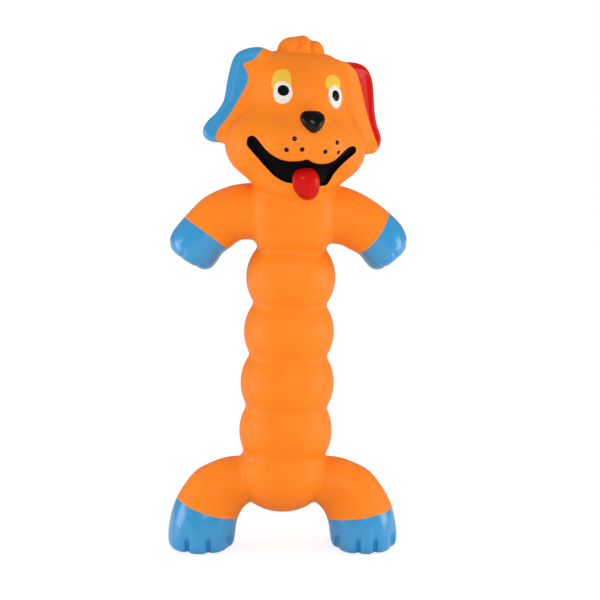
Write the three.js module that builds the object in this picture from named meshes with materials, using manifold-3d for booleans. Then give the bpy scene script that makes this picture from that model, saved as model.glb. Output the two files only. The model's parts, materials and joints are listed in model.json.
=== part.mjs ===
// A squeaky dog toy: a moulded latex skin, split where it bends, over wads of fibre and a small
// squeaker. Millimetres, +Z up, the face looks along -Y, and the soles stand at Z = 0.
import * as THREE from "three";
import { mergeVertices } from "three/addons/utils/BufferGeometryUtils.js";
import Module from "manifold-3d";

const wasm = await Module();
wasm.setup();

// Driving sizes of the whole toy
const WALL = 2.0; // latex skin
const GAP = 0.35; // between two pieces that touch
const WAD_GAP = 0.45; // between a fibre wad and the skin round it
const SOCKET_GAP = 0.9; // round the root of a limb, which turns there
const OVERRUN = 3.0; // how far a cutter runs past what it cuts
const LEAN = THREE.MathUtils.degToRad(2.0); // of the spine, towards the toy's left
const LIP_ANGLE = THREE.MathUtils.degToRad(13); // of skin that stays tucked in below a crease
const BEND = THREE.MathUtils.degToRad(9); // of a limb, each way
const NOD = THREE.MathUtils.degToRad(13); // of the head, with a little to spare
const EAR_FLAP = THREE.MathUtils.degToRad(8);
const MERGE = 1e-4; // between corners that count as one

// Hips, a lobe that is flatter below than above
const HIPS = { radius: 22.8, above: 21.0, below: 18.6, height: 37.0 };

// Body lobes from the hips up: each ball's radius and its centre's height over the centre below
const LOBE_1 = { radius: 22.5, pitch: 21.9 };
const LOBE_2 = { radius: 22.5, pitch: 24.1 };
const LOBE_3 = { radius: 21.5, pitch: 25.4 };
const LOBE_4 = { radius: 21.2, pitch: 26.7 };
const LOBES = [LOBE_1, LOBE_2, LOBE_3, LOBE_4];

// Chest, an upright capsule whose lower end is the ball that sits in the top lobe
const CHEST = { radius: 20.5, pitch: 25.9, length: 9.0, wadRadius: 10.4 };

// Head: neck ball, set over the chest, and the height from the neck's centre to the crown
const NECK = { ball: 15.0, above: 25.0, aside: 1.2, air: 7.0 };
const HEAD = 56.0;
const YAW = THREE.MathUtils.degToRad(13);
const ROLL = THREE.MathUtils.degToRad(4.4);

// Arms: x in shares of the reach from the chest's axis, z in shares of the root's radius
const ARM = { pivot: 16.0, above: 5.0, reach: 58.4, root: 14.5 };
const ARM_SHARES = [
  // lower x, lower z, upper x, upper z, half depth
  [0.226, -0.98, 0.226, 0.98, 0.98],
  [0.274, -1.0, 0.274, 1.0, 1.0],
  [0.36, -0.972, 0.411, 0.869, 0.952],
  [0.428, -0.993, 0.548, 0.655, 0.924],
  [0.479, -1.062, 0.702, 0.331, 0.91],
  [0.507, -1.138, 0.87, -0.103, 0.897],
];
const PAW_SHARES = [
  [0.545, -1.297, 0.938, -0.441, 0.883],
  [0.586, -1.572, 0.986, -0.703, 0.848],
  [0.62, -1.752, 1.0, -0.869, 0.779],
  [0.685, -1.876, 0.969, -1.048, 0.586],
];

// Legs: x in shares of the reach from the hips' axis, z in shares of the root's height
const LEG = { pivot: 16.0, below: 5.0, root: 12.5, reach: 57.0, depth: 16.5, forward: 2.5 };
const LEG_RISE = HIPS.height - LEG.below;
const LEG_SHARES = [
  // inner x, inner z, outer x, outer z, half depth, how far forward
  [0.211, 0.631, 0.211, 1.369, 0.715, 0.0],
  [0.281, 0.609, 0.281, 1.391, 0.758, 0.0],
  [0.342, 0.612, 0.368, 1.38, 0.77, 0.0],
  [0.377, 0.588, 0.491, 1.398, 0.788, 0.0],
  [0.391, 0.569, 0.614, 1.344, 0.806, 0.0],
  [0.397, 0.556, 0.763, 1.194, 0.848, 0.2],
  [0.4, 0.544, 0.891, 0.869, 0.909, 0.4],
];
const FOOT_SHARES = [
  [0.404, 0.438, 0.965, 0.609, 0.97, 0.8],
  [0.404, 0.281, 1.0, 0.313, 1.0, 1.0],
  [0.407, 0.125, 1.0, 0.125, 0.988, 1.0],
  [0.421, 0.038, 0.982, 0.038, 0.933, 1.0],
  [0.453, 0.0, 0.951, 0.0, 0.836, 1.0],
];

// The head's form: soft blobs, mirrored in x, in shares of the head's height
const BLOB_SHARES = [
  // centre x, y, z, radius x, y, z, width of the blend into what comes before
  { at: [0, 0.036, 0.589], size: [0.482, 0.464, 0.411], blend: 0.143 }, // skull
  { at: [0.304, 0, 0.768], size: [0.196, 0.25, 0.214], blend: 0.143 }, // crown above each ear
  { at: [0.277, -0.107, 0.232], size: [0.33, 0.339, 0.304], blend: 0.161 }, // cheek
  { at: [0, -0.179, 0.018], size: [0.357, 0.304, 0.232], blend: 0.125 }, // chin
  { at: [0.134, -0.375, 0.277], size: [0.232, 0.232, 0.205], blend: 0.107 }, // upper lip
  { at: [0, -0.357, 0.429], size: [0.161, 0.214, 0.161], blend: 0.089 }, // bridge of the nose
  { at: [0, 0, 0.143], size: [0.304, 0.304, 0.241], blend: 0.089 }, // neck
];
const HEAD_CENTRE_SHARES = [0, -0.071, 0.43];
const SLOPE_STEP_SHARE = 1e-4;
const HEAD_MESH = { turns: 20, rings: 12 };
const HOLLOW_MESH = { turns: 12, rings: 8 };

// Face, in shares of the head's height
const EYE_SHARES = [
  { name: "right", at: [-0.221, 0.68], size: [0.079, 0.098], pupil: [-0.209, 0.698] },
  { name: "left", at: [0.234, 0.673], size: [0.067, 0.095], pupil: [0.243, 0.688] },
];
const PUPIL_SHARE = 0.042;
const LID_RISE_SHARE = 0.098;
const MOUTH_SHARES = { half: 0.446, upper: 0.125, lower: -0.071, upperRise: 0.143, lowerRise: 0.304 };
const MOUTH_UPPER_POWER = 2.3;
const MOUTH_LOWER_POWER = 1.9;
const TONGUE_SHARES = { at: [0, -0.054], size: [0.109, 0.116] };
const NOSE_SHARES = { at: [0.014, 0.464], size: [0.104, 0.095] };
const PAINT = 0.5; // thickness of an eye, a lid or the mouth lining
const NOSE_RISE = 4.6;
const TONGUE_RISE = 3.0;

// Tuft of three curls on the crown: centre x, y, radius and rise, in shares of the head's height
const CURL_SHARES = [
  [-0.12, -0.02, 0.1, 0.11],
  [0.0, -0.01, 0.12, 0.155],
  [0.12, 0.0, 0.1, 0.105],
];
const TUFT_SHARES = { at: [0, -0.01], size: [0.212, 0.13] };

// Ears: height, outer edge and half thickness, in shares of the head's height
const EAR_SWEEP = THREE.MathUtils.degToRad(30); // towards the back
const EAR_HALF_SHARE = 0.05; // half the thickness of its root
const EAR_SHARES = [
  // z, outer x, half thickness
  [1.04, 0.42, 0.03],
  [0.97, 0.53, 0.045],
  [0.86, 0.593, 0.05],
  [0.7, 0.636, 0.05],
  [0.54, 0.68, 0.05],
  [0.4, 0.732, 0.048],
  [0.3, 0.75, 0.042],
  [0.235, 0.69, 0.03],
];
const EAR_ROOT_SHARES = { top: [0.36, 1.02], bottom: [0.58, 0.235] };
const EAR_EDGE_ANGLES = [-60, -20, 20, 60].map(THREE.MathUtils.degToRad);

// Squeaker, pushed in through the back of the chest
const SQUEAKER = { radius: 8.6, wall: 1.2, length: 13.0, inset: 0.6, above: 3.0 };
const CAP = { flange: 1.4, plug: 2.0, hole: 0.9, ring: 3.9, holes: 6 };
const SEAT = { thickness: 2.0, slotWidth: 3.0, slotLength: 8.0, depth: 7.0 };
const REED = { length: 9.0, width: 3.6, thickness: 0.3 };
const CLAMP = { length: 3.0, height: 1.2 };

// Materials
const finish = (color, roughness) => new THREE.MeshStandardMaterial({ color, roughness, metalness: 0 });
const ORANGE = finish(0xff8020, 0.55);
const BLUE = finish(0x3c9bd2, 0.3);
const RED = finish(0xcd1c1c, 0.25);
const BLACK = finish(0x111111, 0.3);
const WHITE = finish(0xfaf5eb, 0.35);
const YELLOW = finish(0xf5c841, 0.4);
const FIBRE = finish(0xf2f2ee, 0.95);
const PLASTIC = finish(0xe9e9e4, 0.4);
const REED_FILM = finish(0xd0d4da, 0.3);

// Geometry with only its places, its equal corners merged and its empty faces left out
function merged(geometry) {
  const bare = geometry.clone();
  bare.deleteAttribute("normal");
  bare.deleteAttribute("uv");
  const joined = mergeVertices(bare, MERGE);
  const kept = [];
  for (let i = 0; i < joined.index.count; i += 3) {
    const [a, b, c] = [0, 1, 2].map((corner) => joined.index.getX(i + corner));
    if (a !== b && b !== c && c !== a) kept.push(a, b, c);
  }
  joined.setIndex(kept);
  return joined;
}

// Six times the volume that the faces enclose, negative where they point in
function signedVolume(geometry) {
  const [a, b, c] = [new THREE.Vector3(), new THREE.Vector3(), new THREE.Vector3()];
  const { position } = geometry.attributes;
  let volume = 0;
  for (let i = 0; i < geometry.index.count; i += 3) {
    a.fromBufferAttribute(position, geometry.index.getX(i));
    b.fromBufferAttribute(position, geometry.index.getX(i + 1));
    c.fromBufferAttribute(position, geometry.index.getX(i + 2));
    volume += a.dot(b.cross(c));
  }
  return volume;
}

function facingOut(geometry) {
  const shape = merged(geometry);
  if (signedVolume(shape) < 0) shape.setIndex(Array.from(shape.index.array).reverse());
  shape.computeVertexNormals();
  return shape;
}

function toSolid(geometry) {
  const shape = facingOut(geometry);
  return new wasm.Manifold(
    new wasm.Mesh({
      numProp: 3,
      vertProperties: new Float32Array(shape.attributes.position.array),
      triVerts: new Uint32Array(shape.index.array),
    }),
  );
}

function toGeometry(solid) {
  const mesh = solid.getMesh();
  const shape = new THREE.BufferGeometry();
  shape.setAttribute("position", new THREE.BufferAttribute(mesh.vertProperties, 3));
  shape.setIndex(Array.from(mesh.triVerts));
  shape.computeVertexNormals();
  return shape;
}

// What the tools leave of a piece, without the slivers that fall off where two of them nearly meet
function cut(geometry, ...tools) {
  const left = tools.reduce((rest, tool) => rest.subtract(toSolid(tool)), toSolid(geometry));
  const [largest] = left.decompose().sort((a, b) => b.volume() - a.volume());
  return toGeometry(largest);
}

function common(geometry, other) {
  return toGeometry(toSolid(geometry).intersect(toSolid(other)));
}

// A profile of [radius, height] points turned round the Z axis
function turned(profile, turns = 20) {
  const points = profile.map(([radius, height]) => new THREE.Vector2(Math.max(radius, 0), height));
  return facingOut(new THREE.LatheGeometry(points, turns).rotateX(Math.PI / 2));
}

// Points on an arc about [0, height], at angles from straight down; the arc may be squashed in z
function arc(radius, height, from, to, steps, rise = radius) {
  const points = [];
  for (let i = 0; i <= steps; i++) {
    const angle = from + ((to - from) * i) / steps;
    points.push([radius * Math.sin(angle), height - rise * Math.cos(angle)]);
  }
  return points;
}

function cylinder(radius, from, to, turns = 20) {
  return new THREE.CylinderGeometry(radius, radius, to - from, turns)
    .rotateX(Math.PI / 2)
    .translate(0, 0, (from + to) / 2);
}

function sphere(radius) {
  return new THREE.SphereGeometry(radius, 16, 9);
}

// Rings of equally many points joined into one closed skin, in the order given. A round trip
// that ends where it began needs no caps; any other gets a cap on its first and last ring.
function joinRings(rings, roundTrip = false) {
  const count = rings[0].length;
  const places = rings.flat();
  const faces = [];
  const pairs = roundTrip ? rings.length : rings.length - 1;
  for (let k = 0; k < pairs; k++) {
    const a = k * count;
    const b = ((k + 1) % rings.length) * count;
    for (let i = 0; i < count; i++) {
      const next = (i + 1) % count;
      faces.push(a + i, a + next, b + i, a + next, b + next, b + i);
    }
  }
  if (!roundTrip) {
    for (const [ring, start, turn] of [
      [rings[0], 0, 1],
      [rings[rings.length - 1], (rings.length - 1) * count, -1],
    ]) {
      const centre = ring.reduce((sum, p) => sum.add(p), new THREE.Vector3()).divideScalar(count);
      const hub = places.push(centre) - 1;
      for (let i = 0; i < count; i++) {
        const pair = [start + ((i + 1) % count), start + i];
        faces.push(...(turn > 0 ? pair : pair.reverse()), hub);
      }
    }
  }
  const shape = new THREE.BufferGeometry().setFromPoints(places);
  shape.setIndex(faces);
  return facingOut(shape);
}

// One ring of a limb, between two points of its outline in the XZ plane, grown by a margin
function limbRing(section, grow, count = 12) {
  const { low, high, depth, forward } = section;
  const middle = low.clone().add(high).multiplyScalar(0.5);
  const half = high.clone().sub(low).multiplyScalar(0.5);
  half.setLength(half.length() + grow);
  const ring = [];
  for (let i = 0; i < count; i++) {
    const angle = (2 * Math.PI * i) / count;
    const point = middle.clone().addScaledVector(half, Math.cos(angle));
    point.y += -forward + (depth + grow) * Math.sin(angle);
    ring.push(point);
  }
  return ring;
}

function limbSections(shares, side, { x, z, zero, depth, forward = 0 }) {
  return shares.map(([lowX, lowZ, highX, highZ, depthShare, forwardShare = 0]) => ({
    low: new THREE.Vector3(side * lowX * x, 0, zero + lowZ * z),
    high: new THREE.Vector3(side * highX * x, 0, zero + highZ * z),
    depth: depthShare * depth,
    forward: forwardShare * forward,
  }));
}

// Moves a section along the limb, so that two pieces that share it keep the gap
function shifted(section, towards, distance) {
  const step = towards.low.clone().add(towards.high).sub(section.low).sub(section.high);
  step.setLength(distance);
  return { ...section, low: section.low.clone().add(step), high: section.high.clone().add(step) };
}

// Every second section and the last, which are enough for the inside of a skin
function everyOther(sections) {
  return sections.filter((_, i) => i % 2 === 0 || i === sections.length - 1);
}

// A limb's skin, open at both ends
function sleeve(sections) {
  const outside = sections.map((section) => limbRing(section, 0));
  const inside = everyOther(sections).map((section) => limbRing(section, -WALL));
  return joinRings([...outside, ...inside.reverse()], true);
}

// A limb's end, open towards the limb: it closes at its last section
function mitt(sections) {
  const outside = sections.map((section) => limbRing(section, 0));
  const last = sections[sections.length - 1];
  const inner = everyOther(sections.slice(0, -1));
  const bed = shifted(last, sections[sections.length - 2], WALL);
  const inside = [...inner.map((section) => limbRing(section, -WALL)), limbRing(bed, -WALL)];
  return joinRings([...inside.reverse(), ...outside]);
}

// Heights at which two balls on one axis meet, measured from the lower one's centre
function meeting(lower, upper, apart) {
  const height = (apart ** 2 + lower ** 2 - upper ** 2) / (2 * apart);
  return { height, radius: Math.sqrt(lower ** 2 - height ** 2) };
}

// Angle from straight down at which an upper ball's skin ends, tucked in below its crease
function lipAngle(lower, upper, apart) {
  const crease = meeting(lower, upper, apart);
  return Math.acos((apart - crease.height) / upper) - LIP_ANGLE;
}

// Profile of a ball's skin, open below at its lip and hollowed above for the ball that it carries
function bowlProfile({ radius, lip, above, apart }) {
  const seat = above + GAP;
  const rim = meeting(radius, seat, apart);
  const ledge = meeting(radius - WALL, seat, apart);
  const down = (point, from) => Math.PI - Math.atan2(point.radius, point.height - from);
  const seatDown = (point) => Math.acos((apart - point.height) / seat);
  return [
    ...arc(radius, 0, lip, down(rim, 0), 5),
    ...arc(seat, apart, seatDown(rim), seatDown(ledge), 2).slice(1),
    ...arc(radius - WALL, 0, down(ledge, 0), lip, 4).slice(1),
    [radius * Math.sin(lip), -radius * Math.cos(lip)],
  ];
}

// A wad of fibre in a ball, hollowed above like the skin round it
function ballWad({ radius, above, apart }) {
  const size = radius - WALL - WAD_GAP;
  const seat = above + WAD_GAP;
  const edge = meeting(size, seat, apart);
  const down = Math.PI - Math.atan2(edge.radius, edge.height);
  const seatDown = Math.acos((apart - edge.height) / seat);
  return turned([...arc(size, 0, 0, down, 5), ...arc(seat, apart, seatDown, 0, 3).slice(1)]);
}

// Signed distance fields of the head
function smoothUnion(a, b, width) {
  const near = Math.max(width - Math.abs(a - b), 0) / width;
  return Math.min(a, b) - (near * near * width) / 4;
}

function blobDistance(point, blob) {
  const offset = new THREE.Vector3(Math.abs(point.x), point.y, point.z);
  offset.sub(new THREE.Vector3(...blob.at).multiplyScalar(HEAD));
  const size = new THREE.Vector3(...blob.size).multiplyScalar(HEAD);
  const near = offset.clone().divide(size);
  const slope = near.clone().divide(size).length();
  return slope > 0 ? (near.length() * (near.length() - 1)) / slope : -size.x;
}

function headDistance(point) {
  const [skull, ...others] = BLOB_SHARES;
  return others.reduce(
    (distance, blob) => smoothUnion(distance, blobDistance(point, blob), blob.blend * HEAD),
    blobDistance(point, skull),
  );
}

// The chest's axis as the head's frame sees it
const headTurn = new THREE.Euler(0, ROLL, YAW, "ZYX");
const chestLine = new THREE.Line3(
  new THREE.Vector3(-NECK.aside, 0, CHEST.length - NECK.above),
  new THREE.Vector3(-NECK.aside, 0, -NECK.above),
).applyMatrix4(new THREE.Matrix4().makeRotationFromEuler(headTurn).invert());
const NOD_ROOM = 1 + (NECK.above * Math.sin(NOD)) / CHEST.radius; // how much deeper the nod needs it

const shoulders = [-1, 1].map((side) =>
  new THREE.Vector3(side * ARM.pivot - NECK.aside, 0, ARM.above - NECK.above).applyMatrix4(
    new THREE.Matrix4().makeRotationFromEuler(headTurn).invert(),
  ),
);

function chestDistance(point) {
  const nearest = chestLine.closestPointToPoint(point, true, new THREE.Vector3());
  const away = point.clone().sub(nearest);
  away.y /= NOD_ROOM;
  const swing = NECK.ball * Math.sin(NOD);
  const clear = shoulders.map((centre) => point.distanceTo(centre) - ARM.root - swing);
  return Math.min(away.length() - CHEST.radius, ...clear) - GAP;
}

// The head clear of the chest, apart from the neck that goes down into it
function headSkinDistance(point, inset) {
  const clear = Math.min(inset - chestDistance(point), point.length() - NECK.ball + inset);
  return Math.max(headDistance(point) + inset, clear);
}

// Distance from a place, along a direction, at which a field rises to a level
function march(field, from, direction, level, reach) {
  let low = 0;
  let high = reach;
  const point = new THREE.Vector3();
  for (let i = 0; i < 40; i++) {
    const middle = (low + high) / 2;
    point.copy(from).addScaledVector(direction, middle);
    if (field(point) < level) low = middle;
    else high = middle;
  }
  return (low + high) / 2;
}

// A closed skin round a centre that sees all of it
function starSkin(field, { turns, rings }) {
  const centre = new THREE.Vector3(...HEAD_CENTRE_SHARES).multiplyScalar(HEAD);
  const place = (ring, turn) => {
    const tilt = (Math.PI * ring) / rings;
    const angle = (2 * Math.PI * (turn + 0.5)) / turns - Math.PI / 2;
    const direction = new THREE.Vector3(
      Math.sin(tilt) * Math.cos(angle),
      Math.sin(tilt) * Math.sin(angle),
      Math.cos(tilt),
    );
    return centre.clone().addScaledVector(direction, march(field, centre, direction, 0, 2 * HEAD));
  };
  const belts = [Array(turns).fill(place(0, 0))];
  for (let ring = 1; ring < rings; ring++) {
    belts.push(Array.from({ length: turns }, (_, turn) => place(ring, turn)));
  }
  belts.push(Array(turns).fill(place(rings, 0)));
  return joinRings(belts);
}

function slope(field, point) {
  const step = SLOPE_STEP_SHARE * HEAD;
  const axes = [new THREE.Vector3(1, 0, 0), new THREE.Vector3(0, 1, 0), new THREE.Vector3(0, 0, 1)];
  const rise = axes.map(
    (axis) =>
      field(point.clone().addScaledVector(axis, step)) - field(point.clone().addScaledVector(axis, -step)),
  );
  return new THREE.Vector3(...rise).normalize();
}

// A raised piece on the head, under an outline seen from the front or from above. place gives a
// point of the outline's plane, and rise the height there, for u and v from -1 to 1.
function relief({ place, rise, lift, view = "front", steps = [6, 6] }) {
  const core = new THREE.Vector3(...HEAD_CENTRE_SHARES).multiplyScalar(HEAD);
  const layers = [[], []];
  for (let i = 0; i <= steps[0]; i++) {
    for (let j = 0; j <= steps[1]; j++) {
      const u = (2 * i) / steps[0] - 1;
      const v = (2 * j) / steps[1] - 1;
      const [a, b] = place(u, v);
      const from = view === "front" ? new THREE.Vector3(a, core.y, b) : new THREE.Vector3(a, b, core.z);
      const direction = view === "front" ? new THREE.Vector3(0, -1, 0) : new THREE.Vector3(0, 0, 1);
      const foot = from.addScaledVector(direction, march(headDistance, from, direction, 0, 2 * HEAD));
      const out = slope(headDistance, foot);
      layers[0].push(foot.clone().addScaledVector(out, lift));
      layers[1].push(foot.clone().addScaledVector(out, lift + rise(u, v)));
    }
  }
  return slab(layers, steps);
}

// Two layers of a square grid joined into one closed slab
function slab([below, above], [wide, high]) {
  const side = high + 1;
  const count = (wide + 1) * side;
  const faces = [];
  const quad = (a, b, c, d) => faces.push(a, b, c, a, c, d);
  for (let i = 0; i < wide; i++) {
    for (let j = 0; j < high; j++) {
      const corner = i * side + j;
      quad(corner, corner + side, corner + side + 1, corner + 1);
      quad(count + corner, count + corner + 1, count + corner + side + 1, count + corner + side);
    }
  }
  const wall = (a, b) => quad(a, b, count + b, count + a);
  for (let j = 0; j < high; j++) {
    wall(j, j + 1);
    wall(wide * side + j + 1, wide * side + j);
  }
  for (let i = 0; i < wide; i++) {
    wall((i + 1) * side, i * side);
    wall(i * side + high, (i + 1) * side + high);
  }
  const shape = new THREE.BufferGeometry().setFromPoints([...below, ...above]);
  shape.setIndex(faces);
  return facingOut(shape);
}

// A disc's point for u and v from -1 to 1, with no crowding at its middle
function onDisc(u, v) {
  return [u * Math.sqrt(1 - (v * v) / 2), v * Math.sqrt(1 - (u * u) / 2)];
}

function ovalPlace({ at, size }) {
  return (u, v) => {
    const [a, b] = onDisc(u, v);
    return [(at[0] + size[0] * a) * HEAD, (at[1] + size[1] * b) * HEAD];
  };
}

// A dome's height over a disc, keeping a rim so that its edge isn't a knife
function dome(height, rim = PAINT) {
  return (u, v) => {
    const [a, b] = onDisc(u, v);
    return rim + (height - rim) * Math.sqrt(Math.max(1 - a * a - b * b, 0));
  };
}

// Scene graph
const toy = new THREE.Group();

function add(group, name, geometry, material) {
  const mesh = new THREE.Mesh(geometry, material);
  mesh.name = name;
  group.add(mesh);
  return mesh;
}

function groupIn(parent, x, y, z) {
  const group = new THREE.Group();
  group.position.set(x, y, z);
  parent.add(group);
  return group;
}

const SIDES = [
  { name: "right", side: -1 },
  { name: "left", side: 1 },
];

// Hips and legs
function makeHips(parent) {
  const { radius, above, below, height } = HIPS;
  const hips = groupIn(parent, 0, 0, height);
  const seat = LOBES[0].radius + GAP;
  const apart = LOBES[0].pitch;
  const shell = (inset, steps) => {
    const width = radius - inset;
    return turned([
      ...arc(width, 0, 0, Math.PI / 2, steps, below - inset),
      ...arc(width, 0, Math.PI / 2, Math.PI, steps, above - inset).slice(1),
    ]);
  };
  const ball = (grow) => turned(arc(seat + grow, apart, 0, Math.PI, 10)).rotateY(LEAN);
  const swing = LEG.pivot * Math.sin(BEND);
  const legs = SIDES.flatMap(({ name, side }) => makeLeg(hips, name, side, ball(swing)));
  const skin = cut(shell(0, 5), shell(WALL, 4), ball(0), ...legs);
  add(hips, "hips_skin", skin, ORANGE);
  const wad = common(shell(WALL + WAD_GAP, 4), cylinder(CHEST.wadRadius, -height, height));
  add(hips, "hips_filling", cut(wad, ball(WAD_GAP)), FIBRE);
  return hips;
}

function makeLeg(hips, name, side, lobe) {
  const span = { x: LEG.reach, z: LEG_RISE, zero: -HIPS.height, depth: LEG.depth, forward: LEG.forward };
  const upper = limbSections(LEG_SHARES, side, span);
  const lower = limbSections(FOOT_SHARES, side, span);
  const ankle = upper[upper.length - 1];
  add(hips, name + "_leg", cut(sleeve(upper), lobe), ORANGE);
  add(hips, name + "_foot", mitt([shifted(ankle, lower[0], GAP), ...lower]), BLUE);
  const root = [side * LEG.pivot, 0, -LEG.below];
  const swung = [-BEND, BEND].map((angle) =>
    joinRings(upper.map((section) => limbRing(section, GAP)))
      .translate(-root[0], -root[1], -root[2])
      .rotateY(angle)
      .translate(...root),
  );
  return [sphere(LEG.root + SOCKET_GAP).translate(...root), ...swung];
}

// Body lobes, each carried by the one below
function makeLobes(parent) {
  let carrier = parent;
  LOBES.forEach(({ radius, pitch }, i) => {
    const below = i === 0 ? HIPS.radius : LOBES[i - 1].radius;
    const next = LOBES[i + 1] ?? CHEST;
    carrier = groupIn(carrier, 0, 0, pitch);
    const lip = lipAngle(below, radius, pitch);
    const bowl = { radius, lip, above: next.radius, apart: next.pitch };
    add(carrier, `lobe_${i + 1}_skin`, turned(bowlProfile(bowl)), ORANGE);
    add(carrier, `lobe_${i + 1}_filling`, ballWad(bowl), FIBRE);
  });
  return carrier;
}

// Chest, arms and squeaker
function makeChest(parent) {
  const { radius, pitch, length, wadRadius } = CHEST;
  const chest = groupIn(parent, 0, 0, pitch);
  const top = LOBES[LOBES.length - 1];
  const lip = lipAngle(top.radius, radius, pitch);
  const capsule = (inset, from, steps) => [
    ...arc(radius - inset, 0, from, Math.PI / 2, steps),
    ...arc(radius - inset, length, Math.PI / 2, Math.PI, steps),
  ];
  const profile = [...capsule(0, lip, 4), ...capsule(WALL, lip, 3).reverse()];
  profile.push(profile[0]);
  const neckBall = (grow) => sphere(NECK.ball + grow).translate(NECK.aside, 0, NECK.above);
  const swing = ARM.pivot * Math.sin(BEND);
  const arms = SIDES.map(({ name, side }) => makeArm(chest, name, side, neckBall(GAP + swing)));
  const port = alongBack(cylinder(SQUEAKER.radius + GAP, 0, radius + OVERRUN));
  const skin = cut(turned(profile), neckBall(GAP), port, ...arms);
  add(chest, "chest_skin", skin, ORANGE);
  const core = turned(capsule(WALL + WAD_GAP, 0, 5));
  const wad = common(core, cylinder(wadRadius, -radius, SQUEAKER.above + SQUEAKER.radius));
  const floor = radius - SQUEAKER.length - WAD_GAP;
  const room = alongBack(cylinder(SQUEAKER.radius + WAD_GAP, floor, radius + OVERRUN));
  add(chest, "chest_filling", cut(wad, room), FIBRE);
  makeSqueaker(chest);
  return chest;
}

function makeArm(chest, name, side, neck) {
  const span = { x: ARM.reach, z: ARM.root, zero: ARM.above, depth: ARM.root };
  const upper = limbSections(ARM_SHARES, side, span);
  const lower = limbSections(PAW_SHARES, side, span);
  const wrist = upper[upper.length - 1];
  add(chest, name + "_arm", cut(sleeve(upper), neck), ORANGE);
  add(chest, name + "_front_paw", mitt([shifted(wrist, lower[0], GAP), ...lower]), BLUE);
  return sphere(ARM.root + SOCKET_GAP).translate(side * ARM.pivot, 0, ARM.above);
}

// Stands a shape made along Z out through the middle of the chest's back
function alongBack(geometry) {
  return geometry.rotateX(-Math.PI / 2).translate(0, 0, SQUEAKER.above);
}

function makeSqueaker(chest) {
  const { radius, wall, length, inset } = SQUEAKER;
  const mouth = CHEST.radius - inset - GAP;
  const floor = CHEST.radius - length;
  const air = wall + CAP.hole;
  const bore = radius - wall;
  const cup = turned([
    [air, floor],
    [radius, floor],
    [radius, mouth],
    [bore, mouth],
    [bore, floor + wall],
    [air, floor + wall],
    [air, floor],
  ]);
  add(chest, "squeaker_cup", alongBack(cup), PLASTIC);

  const flange = mouth + GAP;
  const plug = bore - GAP;
  const cap = turned([
    [0, mouth - CAP.plug],
    [plug, mouth - CAP.plug],
    [plug, flange],
    [radius, flange],
    [radius, flange + CAP.flange],
    [0, flange + CAP.flange],
  ]);
  const holes = [cylinder(CAP.hole, 0, flange + CAP.flange + OVERRUN, 8)];
  for (let i = 0; i < CAP.holes; i++) {
    const angle = (2 * Math.PI * i) / CAP.holes;
    holes.push(holes[0].clone().translate(CAP.ring * Math.cos(angle), CAP.ring * Math.sin(angle), 0));
  }
  add(chest, "squeaker_cap", alongBack(cut(cap, ...holes)), PLASTIC);

  const seatTop = mouth - SEAT.depth;
  const seat = cylinder(plug, seatTop - SEAT.thickness, seatTop);
  const slot = new THREE.BoxGeometry(SEAT.slotWidth, SEAT.slotLength, SEAT.thickness + OVERRUN);
  slot.translate(0, 0, seatTop - SEAT.thickness / 2);
  add(chest, "reed_seat", alongBack(cut(seat, slot)), PLASTIC);

  const reed = new THREE.BoxGeometry(REED.width, REED.length, REED.thickness);
  const reedBase = seatTop + GAP;
  reed.translate(0, 0, reedBase + REED.thickness / 2);
  add(chest, "reed", alongBack(facingOut(reed)), REED_FILM);

  const clampBase = reedBase + REED.thickness + GAP;
  const clamp = new THREE.BoxGeometry(REED.width, CLAMP.length, CLAMP.height);
  clamp.translate(0, (REED.length - CLAMP.length) / 2, clampBase + CLAMP.height / 2);
  add(chest, "reed_clamp", alongBack(facingOut(clamp)), PLASTIC);
}

// Head
function makeHead(chest) {
  const head = groupIn(chest, NECK.aside, 0, NECK.above);
  head.rotation.copy(headTurn);
  const ears = SIDES.map(({ name, side }) => makeEar(head, name, side));
  const outside = starSkin((point) => headSkinDistance(point, 0), HEAD_MESH);
  const hollow = starSkin((point) => headSkinDistance(point, WALL), HOLLOW_MESH);
  const air = cylinder(NECK.air, -HEAD, NECK.ball);
  const bed = mouthRelief(0, PAINT + OVERRUN, GAP);
  add(head, "head_skin", cut(outside, hollow, air, bed, chestTool(), ...ears), ORANGE);
  const wad = starSkin((point) => headSkinDistance(point, WALL + WAD_GAP), HOLLOW_MESH);
  add(head, "head_filling", cut(wad, chestTool()), FIBRE);
  makeFace(head);
  makeTuft(head);
  return head;
}

function makeFace(head) {
  for (const { name, at, size, pupil } of EYE_SHARES) {
    const flat = () => PAINT;
    add(head, name + "_eye", relief({ place: ovalPlace({ at, size }), rise: flat, lift: GAP }), WHITE);
    const iris = ovalPlace({ at: pupil, size: [PUPIL_SHARE, PUPIL_SHARE] });
    const lift = GAP + PAINT + GAP;
    add(head, name + "_pupil", relief({ place: iris, rise: flat, lift, steps: [4, 4] }), BLACK);
    add(head, name + "_eyelid", relief({ place: lidPlace(at, size), rise: flat, lift: GAP }), YELLOW);
  }
  add(head, "mouth_lining", mouthRelief(GAP, PAINT), BLACK);
  const tongueLift = GAP + PAINT + GAP;
  const tongue = relief({ place: ovalPlace(TONGUE_SHARES), rise: dome(TONGUE_RISE), lift: tongueLift });
  add(head, "tongue", cut(tongue, chestTool()), RED);
  add(head, "nose", relief({ place: ovalPlace(NOSE_SHARES), rise: dome(NOSE_RISE), lift: GAP }), BLACK);
}

function mouthRelief(lift, thickness, grow = 0) {
  const { half, upper, lower, upperRise, lowerRise } = MOUTH_SHARES;
  const place = (u, v) => {
    const high = upper + upperRise * Math.abs(u) ** MOUTH_UPPER_POWER;
    const low = lower + lowerRise * Math.abs(u) ** MOUTH_LOWER_POWER;
    const middle = ((high + low) / 2) * HEAD;
    return [u * (half * HEAD + grow), middle + v * (((high - low) / 2) * HEAD + grow)];
  };
  return relief({ place, rise: () => thickness, lift, steps: [10, 3] });
}

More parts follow.
